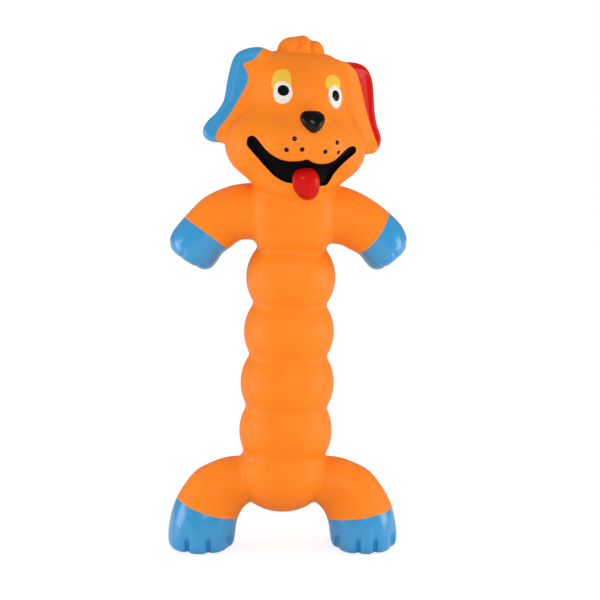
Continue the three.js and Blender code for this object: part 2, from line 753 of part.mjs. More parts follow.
// The chest, less the neck's socket, with room in front and behind for the head's nod
function chestTool() {
  const { radius, length } = CHEST;
  const grown = radius + GAP;
  const body = turned([
    ...arc(grown, 0, 0, Math.PI / 2, 3),
    ...arc(grown, length, Math.PI / 2, Math.PI, 6),
  ]).translate(-NECK.aside, 0, -NECK.above);
  body.applyMatrix4(new THREE.Matrix4().makeRotationFromEuler(headTurn).invert());
  const middle = chestLine.getCenter(new THREE.Vector3());
  body.translate(0, -middle.y, 0).scale(1, NOD_ROOM, 1).translate(0, middle.y, 0);
  return cut(body, sphere(NECK.ball));
}

// A lid reaches from the top of its eye, less a gap, up to its own arch
function lidPlace(at, size) {
  return (u, v) => {
    const bow = Math.sqrt(1 - (u * u) / 2);
    const low = (at[1] + size[1] * bow) * HEAD + GAP;
    const high = (at[1] + size[1] + LID_RISE_SHARE * bow) * HEAD;
    return [(at[0] + size[0] * u * Math.SQRT1_2) * HEAD, low + ((high - low) * (v + 1)) / 2];
  };
}

function makeTuft(head) {
  const place = ovalPlace(TUFT_SHARES);
  const rise = (u, v) => {
    const [x, y] = place(u, v).map((length) => length / HEAD);
    const heights = CURL_SHARES.map(([cx, cy, radius, height]) => {
      const away = Math.hypot(x - cx, y - cy) / radius;
      return height * Math.sqrt(Math.max(1 - away * away, 0));
    });
    return PAINT + Math.max(...heights) * HEAD;
  };
  add(head, "hair_tuft", relief({ place, rise, lift: GAP, view: "above", steps: [12, 6] }), ORANGE);
}

// One level slice of an ear: its root follows the head, its outer edge is round
function earRing(side, [zShare, outerShare, halfShare], grow) {
  const z = zShare * HEAD;
  const out = new THREE.Vector3(Math.cos(EAR_SWEEP), Math.sin(EAR_SWEEP), 0);
  const across = new THREE.Vector3(-out.y, out.x, 0);
  const { top, bottom } = EAR_ROOT_SHARES;
  const along = (top[1] - zShare) / (top[1] - bottom[1]);
  const rootX = (top[0] + (bottom[0] - top[0]) * along) * HEAD;
  const length = (outerShare * HEAD - rootX) / out.x;
  const half = halfShare * HEAD;
  const inner = [1, 0, -1].map((share) => {
    const foot = new THREE.Vector3(rootX, 0, z).addScaledVector(across, share * (half + grow));
    const back = foot.clone().addScaledVector(out, -length);
    const reach = march(headDistance, back, out, GAP - grow, 2 * length);
    return headDistance(back) < GAP - grow
      ? back.addScaledVector(out, reach)
      : foot.addScaledVector(out, -grow);
  });
  const edge = new THREE.Vector3(rootX, 0, z).addScaledVector(out, length - half);
  const round = EAR_EDGE_ANGLES.map((angle) =>
    edge
      .clone()
      .addScaledVector(out, (half + grow) * Math.cos(angle))
      .addScaledVector(across, (half + grow) * Math.sin(angle)),
  );
  const waist = (share) =>
    new THREE.Vector3(rootX, 0, z)
      .addScaledVector(out, length / 2)
      .addScaledVector(across, share * (half + grow));
  return [...inner, waist(-1), ...round, waist(1)].map((point) => {
    point.x *= side;
    return point;
  });
}

function makeEar(head, name, side) {
  const slices = (grow) => joinRings(EAR_SHARES.map((share) => earRing(side, share, grow)));
  add(head, name + "_ear", slices(0), side < 0 ? BLUE : RED);
  return slices(GAP + 2 * EAR_HALF_SHARE * HEAD * Math.sin(EAR_FLAP));
}

// The line that an ear turns about, along the middle of its root
function earHinge(side) {
  const root = (row) => earRing(side, EAR_SHARES[row], 0)[1];
  const foot = root(EAR_SHARES.length - 2);
  const axis = root(1).sub(foot).normalize();
  return { foot, axis };
}

const hips = makeHips(toy);
const spine = groupIn(hips, 0, 0, 0);
spine.rotation.y = LEAN;
const chest = makeChest(makeLobes(spine));
chest.rotation.y = -LEAN;
makeHead(chest);

// The toy's origin is the middle of its footprint
const extent = new THREE.Box3().setFromObject(toy, true);
hips.position.x -= (extent.min.x + extent.max.x) / 2;
hips.position.y -= (extent.min.y + extent.max.y) / 2;

export { earHinge };
export default toy;
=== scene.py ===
"""The looks of a squeaky dog toy: one moulded latex skin, painted, and split into pieces.

Lengths are in millimetres until a mesh is made, which is in metres.
"""

import json
import logging
import math
from dataclasses import dataclass
from enum import Enum
from functools import partial
from typing import Callable

import bmesh
import bpy
import numpy as np
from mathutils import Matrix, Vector


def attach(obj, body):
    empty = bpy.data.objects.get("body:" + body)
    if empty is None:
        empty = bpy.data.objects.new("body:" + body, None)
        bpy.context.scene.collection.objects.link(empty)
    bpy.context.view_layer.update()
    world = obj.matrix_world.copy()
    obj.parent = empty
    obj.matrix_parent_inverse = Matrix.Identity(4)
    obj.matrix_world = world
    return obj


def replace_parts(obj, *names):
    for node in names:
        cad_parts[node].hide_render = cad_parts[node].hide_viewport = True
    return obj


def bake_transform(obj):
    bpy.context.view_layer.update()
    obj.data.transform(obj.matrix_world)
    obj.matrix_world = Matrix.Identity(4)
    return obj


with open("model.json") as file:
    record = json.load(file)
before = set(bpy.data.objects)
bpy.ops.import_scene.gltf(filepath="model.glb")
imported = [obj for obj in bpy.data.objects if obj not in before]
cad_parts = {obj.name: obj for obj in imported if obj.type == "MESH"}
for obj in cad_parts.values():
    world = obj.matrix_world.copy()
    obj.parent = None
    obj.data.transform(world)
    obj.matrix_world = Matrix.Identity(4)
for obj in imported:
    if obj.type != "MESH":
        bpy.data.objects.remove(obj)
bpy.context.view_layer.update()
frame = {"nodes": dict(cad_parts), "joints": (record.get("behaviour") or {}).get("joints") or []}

log = logging.getLogger("dog_toy")

Field = Callable[[np.ndarray], np.ndarray]

METRES = 0.001
FAR = 60.0
PIVOTS = {joint["child"]: np.array(joint["pos_m"]) / METRES for joint in frame["joints"]}
AXES = {joint["child"]: np.array(joint["axis"]) for joint in frame["joints"]}


class Side(Enum):
    """The toy's own right, at -X, and its left."""

    RIGHT = -1
    LEFT = 1

    @property
    def word(self) -> str:
        """The side's name in a piece's name."""
        return self.name.lower()


# Numbers on arrays of points


def smooth_union(a: np.ndarray, b: np.ndarray, width: float) -> np.ndarray:
    """Joins two distance fields with a fillet.

    Args:
        a: One field's values.
        b: The other's values.
        width: Width of the zone that the fillet takes.

    Returns:
        The joined values.
    """
    near = np.maximum(width - np.abs(a - b), 0) / width
    return np.minimum(a, b) - near * near * width / 4


def smooth_common(a: np.ndarray, b: np.ndarray, width: float) -> np.ndarray:
    """What two fields have in common, with a rounded edge."""
    return -smooth_union(-a, -b, width)


def smooth_step(values: np.ndarray, start: float, end: float) -> np.ndarray:
    """Rises smoothly from 0 at start to 1 at end."""
    share = np.clip((values - start) / (end - start), 0, 1)
    return share * share * (3 - 2 * share)


def ellipsoid(points: np.ndarray, centre: np.ndarray, radii: np.ndarray) -> np.ndarray:
    """Approximate distance to an ellipsoid.

    Args:
        points: Places, one a row.
        centre: Its centre.
        radii: Its three radii, for all points or one row for each.

    Returns:
        Distances, negative inside.
    """
    offset = points - centre
    near = np.linalg.norm(offset / radii, axis=1)
    slope = np.linalg.norm(offset / np.square(radii), axis=1)
    return near * (near - 1) / np.maximum(slope, 1e-9)


def inside_box(points: np.ndarray, low: np.ndarray, high: np.ndarray, distance: Field) -> np.ndarray:
    """Evaluates a field only in its own box.

    Args:
        points: Places, one a row.
        low: The box's lowest corner.
        high: The box's highest corner.
        distance: The field.

    Returns:
        Distances in the box, and FAR outside it.
    """
    result = np.full(len(points), FAR)
    near = np.all((points > low) & (points < high), axis=1)
    if near.any():
        result[near] = distance(points[near])
    return result


def curve_through(rows: np.ndarray, steps: int, closed: bool = False) -> np.ndarray:
    """A smooth curve through rows of numbers.

    Args:
        rows: The rows it passes, in order.
        steps: New rows for each old one.
        closed: Whether it returns to its first row.

    Returns:
        The curve's rows.
    """
    rows = np.asarray(rows, float)
    count = len(rows)
    spans = count if closed else count - 1
    made = []
    for i in range(spans):
        if closed:
            a, b, c, d = (rows[(i + k) % count] for k in (-1, 0, 1, 2))
        else:
            a, b, c, d = (rows[min(max(i + k, 0), count - 1)] for k in (-1, 0, 1, 2))
        for step in range(steps):
            t = step / steps
            square = (2 * a - 5 * b + 4 * c - d) * t**2
            cube = (3 * b - a - 3 * c + d) * t**3
            made.append(0.5 * (2 * b + (c - a) * t + square + cube))
    if not closed:
        made.append(rows[-1])
    return np.array(made)


def outline_distance(points: np.ndarray, outline: np.ndarray) -> np.ndarray:
    """Signed distance to a closed outline in the plane.

    Args:
        points: Places in the plane, one a row.
        outline: The outline's corners in order.

    Returns:
        Distances, negative inside.
    """
    best = np.full(len(points), np.inf)
    crossings = np.zeros(len(points), bool)
    for start, end in zip(outline, np.roll(outline, -1, axis=0)):
        edge = end - start
        offset = points - start
        share = np.clip(offset @ edge / max(edge @ edge, 1e-12), 0, 1)
        gap = offset - share[:, None] * edge
        best = np.minimum(best, np.einsum("ij,ij->i", gap, gap))
        straddles = (start[1] > points[:, 1]) != (end[1] > points[:, 1])
        if edge[1]:
            at = start[0] + (points[:, 1] - start[1]) * edge[0] / edge[1]
            crossings ^= straddles & (points[:, 0] < at)
    return np.where(crossings, -1, 1) * np.sqrt(best)


# The moulded form, as distance fields


@dataclass(frozen=True)
class Torso:
    """Hips, four ball-like lobes and the chest, one above another."""

    hips_radius: float = 22.8
    hips_above: float = 21.0
    hips_below: float = 18.6
    hips_over_leg: float = 5.0
    lobe_radii: tuple[float, ...] = (22.8, 22.9, 22.0, 21.7)
    lobe_shift: float = 0.8
    chest_radius: float = 20.8
    chest_length: float = 9.0
    chest_squareness: float = 3.0
    chest_bottom: float = 1.8
    crease_fillet: float = 2.4
    chest_fillet: float = 2.4

    @property
    def hips(self) -> np.ndarray:
        """Centre of the hips, between the legs' pivots and a little above them."""
        middle = (PIVOTS["leg_right"] + PIVOTS["leg_left"]) / 2
        return middle + np.array([0, 0, self.hips_over_leg])

    @property
    def centres(self) -> list[np.ndarray]:
        """Centres of the lobes, from the lowest up, a little beside their pivots."""
        return [PIVOTS[f"lobe_{i}"] + np.array([self.lobe_shift, 0, 0]) for i in range(1, 5)]

    @property
    def spine(self) -> np.ndarray:
        """Direction of the lobes' axis."""
        line = PIVOTS["chest"] - PIVOTS["lobe_1"]
        return line / np.linalg.norm(line)

    def distance(self, points: np.ndarray) -> np.ndarray:
        """Distance to the torso's surface.

        Args:
            points: Places, one a row.

        Returns:
            Distances, negative inside.
        """
        offset = points - self.hips
        rise = np.where(offset[:, 2] > 0, self.hips_above, self.hips_below)
        radii = np.column_stack([np.full_like(rise, self.hips_radius)] * 2 + [rise])
        joined = ellipsoid(offset, np.zeros(3), radii)
        for centre, radius in zip(self.centres, self.lobe_radii):
            ball = np.linalg.norm(points - centre, axis=1) - radius
            joined = smooth_union(joined, ball, self.crease_fillet)
        return smooth_union(joined, self.chest(points), self.chest_fillet)

    def chest(self, points: np.ndarray) -> np.ndarray:
        """Distance to the chest, an upright capsule with a broad front.

        Args:
            points: Places, one a row.

        Returns:
            Distances, negative inside.
        """
        offset = np.abs(points - PIVOTS["chest"] - np.array([self.lobe_shift, 0, 0]))
        height = points[:, 2] - PIVOTS["chest"][2]
        offset[:, 2] = np.abs(height - np.clip(height, self.chest_bottom, self.chest_length))
        power = self.chest_squareness
        across = (offset[:, 0] ** power + offset[:, 1] ** power) ** (1 / power)
        return np.hypot(across, offset[:, 2]) - self.chest_radius


@dataclass(frozen=True)
class Limb:
    """A tube swept through oval sections that stand in planes square to the XZ plane."""

    zero: np.ndarray
    low: np.ndarray
    high: np.ndarray
    depth: np.ndarray
    forward: np.ndarray
    root_cap: float = 7.0

    def distance(self, points: np.ndarray) -> np.ndarray:
        """Distance to the tube's surface.

        Args:
            points: Places, one a row.

        Returns:
            Distances, negative inside.
        """
        flat = (points - self.zero)[:, [0, 2]]
        middle = (self.low + self.high) / 2
        half = (self.high - self.low) / 2
        length = np.linalg.norm(half, axis=1)
        across = half / length[:, None]
        along = np.column_stack([across[:, 1], -across[:, 0]])
        ahead = np.gradient(middle, axis=0)
        along *= np.sign(np.einsum("ij,ij->i", along, ahead))[:, None]
        passed = flat @ along.T - np.einsum("ij,ij->i", middle, along)
        behind = passed < 0
        first = np.where(behind.any(axis=1), behind.argmax(axis=1), len(middle))
        lower = np.clip(first - 1, 0, len(middle) - 2)
        rows = np.arange(len(points))
        start, end = passed[rows, lower], passed[rows, lower + 1]
        share = np.clip(start / np.where(start - end == 0, 1, start - end), 0, 1)
        share[first == len(middle)] = 1
        overshoot = np.zeros(len(points))
        before = first == 0
        share[before] = 0
        overshoot[before] = passed[before, 0] / self.root_cap

        def mixed(values: np.ndarray) -> np.ndarray:
            """The sections' values at each point's own place along the tube."""
            weight = share if values.ndim == 1 else share[:, None]
            return values[lower] * (1 - weight) + values[lower + 1] * weight

        axis = mixed(across)
        axis /= np.linalg.norm(axis, axis=1)[:, None]
        wide = mixed(length)
        deep = mixed(self.depth)
        side = np.einsum("ij,ij->i", flat - mixed(middle), axis)
        front = points[:, 1] - self.zero[1] + mixed(self.forward)
        near = np.sqrt((side / wide) ** 2 + (front / deep) ** 2 + overshoot**2)
        slope = np.sqrt((side / wide**2) ** 2 + (front / deep**2) ** 2 + (overshoot / self.root_cap) ** 2)
        return near * (near - 1) / np.maximum(slope, 1e-9)

    def box(self, margin: float) -> tuple[np.ndarray, np.ndarray]:
        """Lowest and highest corner of a box round the tube.

        Args:
            margin: Room left on each side.

        Returns:
            Both corners.
        """
        ends = np.vstack([self.low, self.high])
        deep = (self.depth + np.abs(self.forward)).max()
        low = self.zero + np.array([ends[:, 0].min(), -deep, ends[:, 1].min()])
        high = self.zero + np.array([ends[:, 0].max(), deep, ends[:, 1].max()])
        return low - margin, high + margin


@dataclass(frozen=True)
class Chord:
    """A line across a limb in the XZ plane, from its inner end to its outer one, with a bow."""

    inner: np.ndarray
    outer: np.ndarray
    bow: float

    def passed(self, flat: np.ndarray) -> tuple[np.ndarray, np.ndarray]:
        """How far points are past the line, and how far across it from -1 to 1.

        Args:
            flat: Places in the plane, one a row.

        Returns:
            Both numbers for each place.
        """
        half = (self.outer - self.inner) / 2
        axis = half / np.linalg.norm(half)
        offset = flat - (self.inner + self.outer) / 2
        across = offset @ axis / np.linalg.norm(half)
        return offset @ np.array([axis[1], -axis[0]]) + self.bow * (1 - across**2), across


@dataclass(frozen=True)
class Arms:
    """Arms, in shares of the reach from the chest's axis and of the root's radius."""

    above: float = 5.0
    reach: float = 58.4
    root: float = 14.5
    # lower x, lower z, upper x, upper z, half depth
    right_shares: tuple[tuple[float, ...], ...] = (
        (0.226, -0.9, 0.226, 1.02, 0.98),
        (0.29, -0.88, 0.29, 1.04, 1.0),
        (0.36, -0.85, 0.42, 1.0, 0.97),
        (0.42, -0.88, 0.55, 0.87, 0.94),
        (0.468, -1.0, 0.72, 0.54, 0.92),
        (0.518, -1.161, 0.878, -0.089, 0.9),
        (0.572, -1.34, 0.96, -0.48, 0.89),
        (0.612, -1.58, 0.998, -0.74, 0.86),
        (0.665, -1.86, 1.012, -0.97, 0.82),
    )
    left_shares: tuple[tuple[float, ...], ...] = (
        (0.226, -0.98, 0.226, 1.0, 0.98),
        (0.29, -0.99, 0.29, 1.02, 1.0),
        (0.37, -1.0, 0.4, 0.95, 0.97),
        (0.43, -1.06, 0.54, 0.76, 0.94),
        (0.495, -1.2, 0.68, 0.45, 0.92),
        (0.556, -1.329, 0.812, 0.038, 0.9),
        (0.595, -1.5, 0.91, -0.36, 0.89),
        (0.63, -1.68, 0.955, -0.72, 0.86),
        (0.675, -1.88, 0.965, -0.98, 0.82),
    )
    wrist_row: int = 5
    right_bow: float = 1.2
    left_bow: float = -1.8
    end_past: float = 2.2
    end_round: float = 5.5
    toe_lines: tuple[float, ...] = (-0.42, 0.28)
    toe_depth: float = 1.5
    toe_width: float = 1.1
    toe_length: float = 6.5

    def shares(self, side: Side) -> np.ndarray:
        """One side's sections."""
        return np.array(self.right_shares if side is Side.RIGHT else self.left_shares)

    def zero(self) -> np.ndarray:
        """The point that both tables count from."""
        return PIVOTS["chest"] + np.array([0, 0, self.above])

    def limb(self, side: Side) -> Limb:
        """The arm on one side, with its paw.

        Args:
            side: Which arm.

        Returns:
            Its tube.
        """
        rows = curve_through(self.shares(side), 4)
        flip = np.array([side.value, 1])
        scale = np.array([self.reach, self.root])
        return Limb(
            zero=self.zero(),
            low=rows[:, 0:2] * scale * flip,
            high=rows[:, 2:4] * scale * flip,
            depth=rows[:, 4] * self.root,
            forward=np.zeros(len(rows)),
        )

    def chord(self, side: Side, row: int, bow: float) -> Chord:
        """The line across a section.

        Args:
            side: Which arm.
            row: The section's row in the table.
            bow: How far its middle bows.

        Returns:
            The line.
        """
        share = self.shares(side)[row]
        scale = np.array([self.reach, self.root])
        return Chord(share[0:2] * scale, share[2:4] * scale, bow)

    def flat(self, points: np.ndarray, side: Side) -> np.ndarray:
        """x and z from the zero point, with x counted outwards."""
        return (points - self.zero())[:, [0, 2]] * np.array([side.value, 1])

    def distance(self, points: np.ndarray, side: Side) -> np.ndarray:
        """Distance to the arm, cut off at its paw with a rounded edge and two short toe grooves.

        Args:
            points: Places, one a row.
            side: Which arm.

        Returns:
            Distances, negative inside.
        """
        tube = self.limb(side).distance(points)
        past, across = self.chord(side, -1, 0.0).passed(self.flat(points, side))
        past = past - self.end_past
        front = smooth_step(self.zero()[1] - points[:, 1], -2.0, 6.0) * smooth_step(past, -self.toe_length, 0)
        for line in self.toe_lines:
            away = (across - line) * self.root / self.toe_width
            tube = tube + self.toe_depth * front * np.exp(-(away**2))
        return smooth_common(tube, past, self.end_round)

    def past_wrist(self, points: np.ndarray, side: Side) -> np.ndarray:
        """How far points are past the edge of the paw's paint."""
        bow = self.right_bow if side is Side.RIGHT else self.left_bow
        return self.chord(side, self.wrist_row, bow).passed(self.flat(points, side))[0]


@dataclass(frozen=True)
class Legs:
    """Legs, in shares of the reach from the hips' axis and of the root's height."""

    rise: float = 32.0
    reach: float = 57.0
    depth: float = 16.5
    forward: float = 2.5
    # inner x, inner z, outer x, outer z, half depth, how far forward
    shares: tuple[tuple[float, ...], ...] = (
        (0.211, 0.74, 0.211, 1.4, 0.7, 0.0),
        (0.265, 0.725, 0.281, 1.415, 0.758, 0.0),
        (0.3, 0.69, 0.368, 1.425, 0.77, 0.0),
        (0.325, 0.65, 0.485, 1.405, 0.788, 0.0),
        (0.35, 0.595, 0.605, 1.335, 0.806, 0.0),
        (0.372, 0.53, 0.76, 1.185, 0.848, 0.2),
        (0.386, 0.47, 0.886, 0.89, 0.909, 0.4),
        (0.4, 0.38, 0.955, 0.63, 0.97, 0.8),
        (0.41, 0.25, 0.99, 0.32, 1.0, 1.0),
        (0.42, 0.11, 0.992, 0.11, 0.988, 1.0),
        (0.425, -0.1, 0.985, -0.1, 0.96, 1.0),
    )
    # inner x, inner z, outer x, outer z of the edge of the foot's paint
    right_paint_shares: tuple[float, ...] = (0.385, 0.49, 0.9, 0.8)
    left_paint_shares: tuple[float, ...] = (0.385, 0.49, 0.94, 0.65)
    right_sag: float = 0.3
    left_sag: float = -0.3
    sole_round: float = 5.0
    right_toe_shares: tuple[float, ...] = (0.463, 0.636, 0.815)
    left_toe_shares: tuple[float, ...] = (0.478, 0.653, 0.798, 0.95)
    toe_depth: float = 2.0
    toe_width: float = 1.0
    toe_top: float = 11.5
    pad_depth: float = 0.9
    pad_width: float = 2.9
    pad_top: float = 19.0

    def zero(self) -> np.ndarray:
        """The point on the ground below the hips that the tables count from."""
        middle = (PIVOTS["leg_right"] + PIVOTS["leg_left"]) / 2
        return np.array([middle[0], middle[1], 0])

    def limb(self, side: Side) -> Limb:
        """The leg on one side, with its foot run past the ground.

        Args:
            side: Which leg.

        Returns:
            Its tube.
        """
        rows = curve_through(np.array(self.shares), 4)
        flip = np.array([side.value, 1])
        scale = np.array([self.reach, self.rise])
        return Limb(
            zero=self.zero(),
            low=rows[:, 0:2] * scale * flip,
            high=rows[:, 2:4] * scale * flip,
            depth=rows[:, 4] * self.depth,
            forward=rows[:, 5] * self.forward,
        )

    def distance(self, points: np.ndarray, side: Side) -> np.ndarray:
        """Distance to the leg and foot, cut flat at the ground and grooved between the toes.

        Args:
            points: Places, one a row.
            side: Which leg.

        Returns:
            Distances, negative inside.
        """
        zero = self.zero()
        tube = self.limb(side).distance(points)
        across = (points[:, 0] - zero[0]) * side.value
        front = smooth_step(zero[1] - points[:, 1], 2.0, 10.0)
        low = front * (1 - smooth_step(points[:, 2], self.toe_top * 0.4, self.toe_top))
        broad = front * (1 - smooth_step(points[:, 2], self.pad_top * 0.4, self.pad_top))
        for line in self.right_toe_shares if side is Side.RIGHT else self.left_toe_shares:
            away = across - line * self.reach
            tube = tube + self.toe_depth * low * np.exp(-((away / self.toe_width) ** 2))
            tube = tube + self.pad_depth * broad * np.exp(-((away / self.pad_width) ** 2))
        return smooth_common(tube, -points[:, 2], self.sole_round)

    def past_ankle(self, points: np.ndarray, side: Side) -> np.ndarray:
        """How far points are below the edge of the foot's paint.

        Args:
            points: Places, one a row.
            side: Which leg.

        Returns:
            Distances, above 0 on the paint.
        """
        right = side is Side.RIGHT
        share = np.array(self.right_paint_shares if right else self.left_paint_shares)
        scale = np.array([self.reach, self.rise])
        sag = self.right_sag if right else self.left_sag
        chord = Chord(share[0:2] * scale, share[2:4] * scale, -sag)
        return chord.passed((points - self.zero())[:, [0, 2]] * np.array([side.value, 1]))[0]


@dataclass(frozen=True)
class HeadForm:
    """The head in its own frame, whose origin is the neck's pivot, in shares of its height."""

    height: float = 56.0
    # centre x, y, z, radius x, y, z, width of the fillet; each blob is mirrored in x
    blobs: tuple[tuple[float, ...], ...] = (
        (0, 0.036, 0.589, 0.41, 0.464, 0.448, 0.0),
        (0.225, 0.02, 0.775, 0.15, 0.25, 0.225, 0.143),
        (0.277, -0.107, 0.232, 0.33, 0.339, 0.304, 0.161),
        (0, -0.179, -0.02, 0.364, 0.3, 0.245, 0.125),
        (0.134, -0.375, 0.277, 0.232, 0.232, 0.205, 0.107),
        (0, -0.4, 0.27, 0.17, 0.2, 0.19, 0.12),
        (0, -0.357, 0.429, 0.161, 0.214, 0.161, 0.089),
        (0, 0, 0.143, 0.304, 0.304, 0.241, 0.089),
    )
    mouth_upper: tuple[tuple[float, float], ...] = (
        (-28.2, 14.2), (-27.8, 16.2), (-26.2, 17.4), (-24.2, 16.4), (-21.3, 12.7), (-18.6, 10.2),
        (-15.8, 8.5), (-12.6, 7.4), (-9.5, 7.0), (-6.3, 7.3), (-3.8, 7.8), (-1.5, 8.5), (1.4, 7.3),
        (4.5, 6.7), (8.1, 6.9), (11.2, 8.0), (13.5, 9.9), (16.4, 12.8), (19.6, 15.0), (22.6, 15.6),
        (24.4, 14.4),
    )  # fmt: skip
    mouth_lower: tuple[tuple[float, float], ...] = (
        (23.9, 12.4), (20.9, 10.0), (18.3, 7.6), (16.3, 5.2), (14.1, 1.9), (12.7, -1.0),
        (11.0, -3.4), (7.9, -4.0), (0.0, -3.8), (-6.6, -3.4), (-9.2, -3.2), (-11.8, -2.2),
        (-14.8, -0.4), (-17.9, 2.4), (-20.5, 4.8), (-23.3, 7.6), (-25.9, 10.2), (-27.7, 12.2),
    )  # fmt: skip
    mouth_depth: float = 1.5
    mouth_wall: float = 1.1
    mouth_zone: float = 0.45
    lip_rise: float = 0.35
    lip_width: float = 1.6
    jaw_shift: float = -1.3

    @property
    def turn(self) -> np.ndarray:
        """Matrix whose columns are the head's own axes, from the axis that it nods about.

        Returns:
            The matrix.
        """
        x, y, z = AXES["head"]
        roll, yaw = -math.asin(z), math.atan2(y, x)
        about_z = np.array([[math.cos(yaw), -math.sin(yaw), 0], [math.sin(yaw), math.cos(yaw), 0], [0, 0, 1]])
        about_y = np.array(
            [[math.cos(roll), 0, math.sin(roll)], [0, 1, 0], [-math.sin(roll), 0, math.cos(roll)]]
        )
        return about_z @ about_y

    def local(self, points: np.ndarray) -> np.ndarray:
        """Points of the toy's frame in the head's own."""
        return (points - PIVOTS["head"]) @ self.turn

    def world(self, points: np.ndarray) -> np.ndarray:
        """Points of the head's frame in the toy's."""
        return points @ self.turn.T + PIVOTS["head"]

    @property
    def mouth(self) -> np.ndarray:
        """The mouth's outline from the front."""
        return curve_through(np.array(self.mouth_upper + self.mouth_lower), 3, closed=True)

    def blob_distance(self, local: np.ndarray) -> np.ndarray:
        """Distance to the plain head, without its mouth.

        Args:
            local: Places in the head's frame.

        Returns:
            Distances, negative inside.
        """
        low = 1 - smooth_step(local[:, 2] / self.height, 0.3, 0.62)
        mirrored = local.copy()
        mirrored[:, 0] = np.abs(mirrored[:, 0] - self.jaw_shift * low)
        joined = None
        for x, y, z, wide, deep, high, fillet in self.blobs:
            centre = np.array([x, y, z]) * self.height
            blob = ellipsoid(mirrored, centre, np.array([wide, deep, high]) * self.height)
            joined = blob if joined is None else smooth_union(joined, blob, fillet * self.height)
        return joined

    def distance(self, local: np.ndarray) -> np.ndarray:
        """Distance to the head with its mouth pressed in.

        Args:
            local: Places in the head's frame.

        Returns:
            Distances, negative inside.
        """
        plain = self.blob_distance(local)
        front = (local[:, 1] < 0) & (local[:, 2] < self.mouth_zone * self.height)
        front &= np.abs(plain) < 4 * self.mouth_depth
        if front.any():
            inside = -outline_distance(local[front][:, [0, 2]], self.mouth)
            recess = self.mouth_depth * smooth_step(inside, 0, self.mouth_wall)
            half = self.lip_width / 2
            lip = self.lip_rise * np.exp(-(((inside + half) / half) ** 2))
            plain[front] += recess - lip
        return plain


@dataclass(frozen=True)
class EarForm:
    """A thick flap that hangs from the side of the head; outlines are from its own plane."""

    side: Side
    # distance out from the root and height: the flap's edge, and the bare part of its front
    outer: tuple[tuple[float, float], ...]
    bare: tuple[tuple[float, float], ...]
    paint_from: float
    sweep: float = 30.0
    root_top: tuple[float, float] = (0.36, 1.02)
    root_bottom: tuple[float, float] = (0.58, 0.235)
    half: float = 2.3
    rim: float = 0.9
    rim_width: float = 2.4
    fillet: float = 3.0
    buried: float = -9.0
    top_drop: float = 9.0
    bend_start: float = 2.6
    bend_end: float = 9.0

    @property
    def root_line(self) -> tuple[np.ndarray, np.ndarray]:
        """The root's top and bottom, in the head's frame and mirrored to x above 0.

        Returns:
            Both points.
        """
        height = HeadForm.height
        top, bottom = (np.array([x, 0, z]) * height for x, z in (self.root_top, self.root_bottom))
        return top, bottom

    @property
    def out(self) -> np.ndarray:
        """Direction out along the flap, level, for x above 0."""
        angle = math.radians(self.sweep)
        return np.array([math.cos(angle), math.sin(angle), 0])

    def flat(self, local: np.ndarray) -> np.ndarray:
        """Each point's distance out from the root, height, and distance behind the flap's middle.

        Args:
            local: Places in the head's frame.

        Returns:
            Three numbers a row.
        """
        top, bottom = self.root_line
        along = (top[2] - local[:, 2]) / (top[2] - bottom[2])
        root_x = top[0] + (bottom[0] - top[0]) * along
        offset_x = local[:, 0] * self.side.value - root_x
        out_x, out_y, _ = self.out
        out = offset_x * out_x + local[:, 1] * out_y
        behind = -offset_x * out_y + local[:, 1] * out_x
        return np.column_stack([out, local[:, 2], behind])

    def outline(self) -> np.ndarray:
        """The flap's outline, closed inside the head.

        Returns:
            Its corners: distance out and height.
        """
        edge = curve_through(np.array(self.outer), 3)
        first, last = edge[0], edge[-1]
        return np.vstack([edge, [[self.buried, last[1] + 3.0], [self.buried, first[1] - self.top_drop]]])

    def distance(self, local: np.ndarray) -> np.ndarray:
        """Distance to the flap, which has a rolled rim.

        Args:
            local: Places in the head's frame.

        Returns:
            Distances, negative inside.
        """
        out, height, behind = self.flat(local).T
        edge = outline_distance(np.column_stack([out, height]), self.outline())
        thick = self.half + self.rim * np.exp(-(((edge + self.rim_width) / self.rim_width) ** 2))
        beyond = np.column_stack([edge + thick, np.abs(behind)])
        outside = np.linalg.norm(np.maximum(beyond, 0), axis=1)
        return outside + np.minimum(beyond.max(axis=1), 0) - thick

    def paint(self, local: np.ndarray) -> np.ndarray:
        """Above 0 where the flap is painted: all of it but the inner part of its front.

        Args:
            local: Places in the head's frame.

        Returns:
            One number for each place.
        """
        out, height, behind = self.flat(local).T
        bare = curve_through(np.array(self.bare), 3, closed=True)
        edge = outline_distance(np.column_stack([out, height]), bare)
        return np.minimum(np.maximum(edge, behind), out - self.paint_from)

    def bend_points(self) -> tuple[np.ndarray, np.ndarray]:
        """Where the flap starts to bend and where it has turned, in the head's frame.

        Returns:
            Both points.
        """
        top, bottom = self.root_line
        root = (top - bottom) / np.linalg.norm(top - bottom)
        square = self.out - (self.out @ root) * root
        ends = []
        for reach in (self.bend_start, self.bend_end):
            point = bottom + square * reach * (self.out @ square) / (square @ square)
            point[0] *= self.side.value
            ends.append(point)
        return ends[0], ends[1]


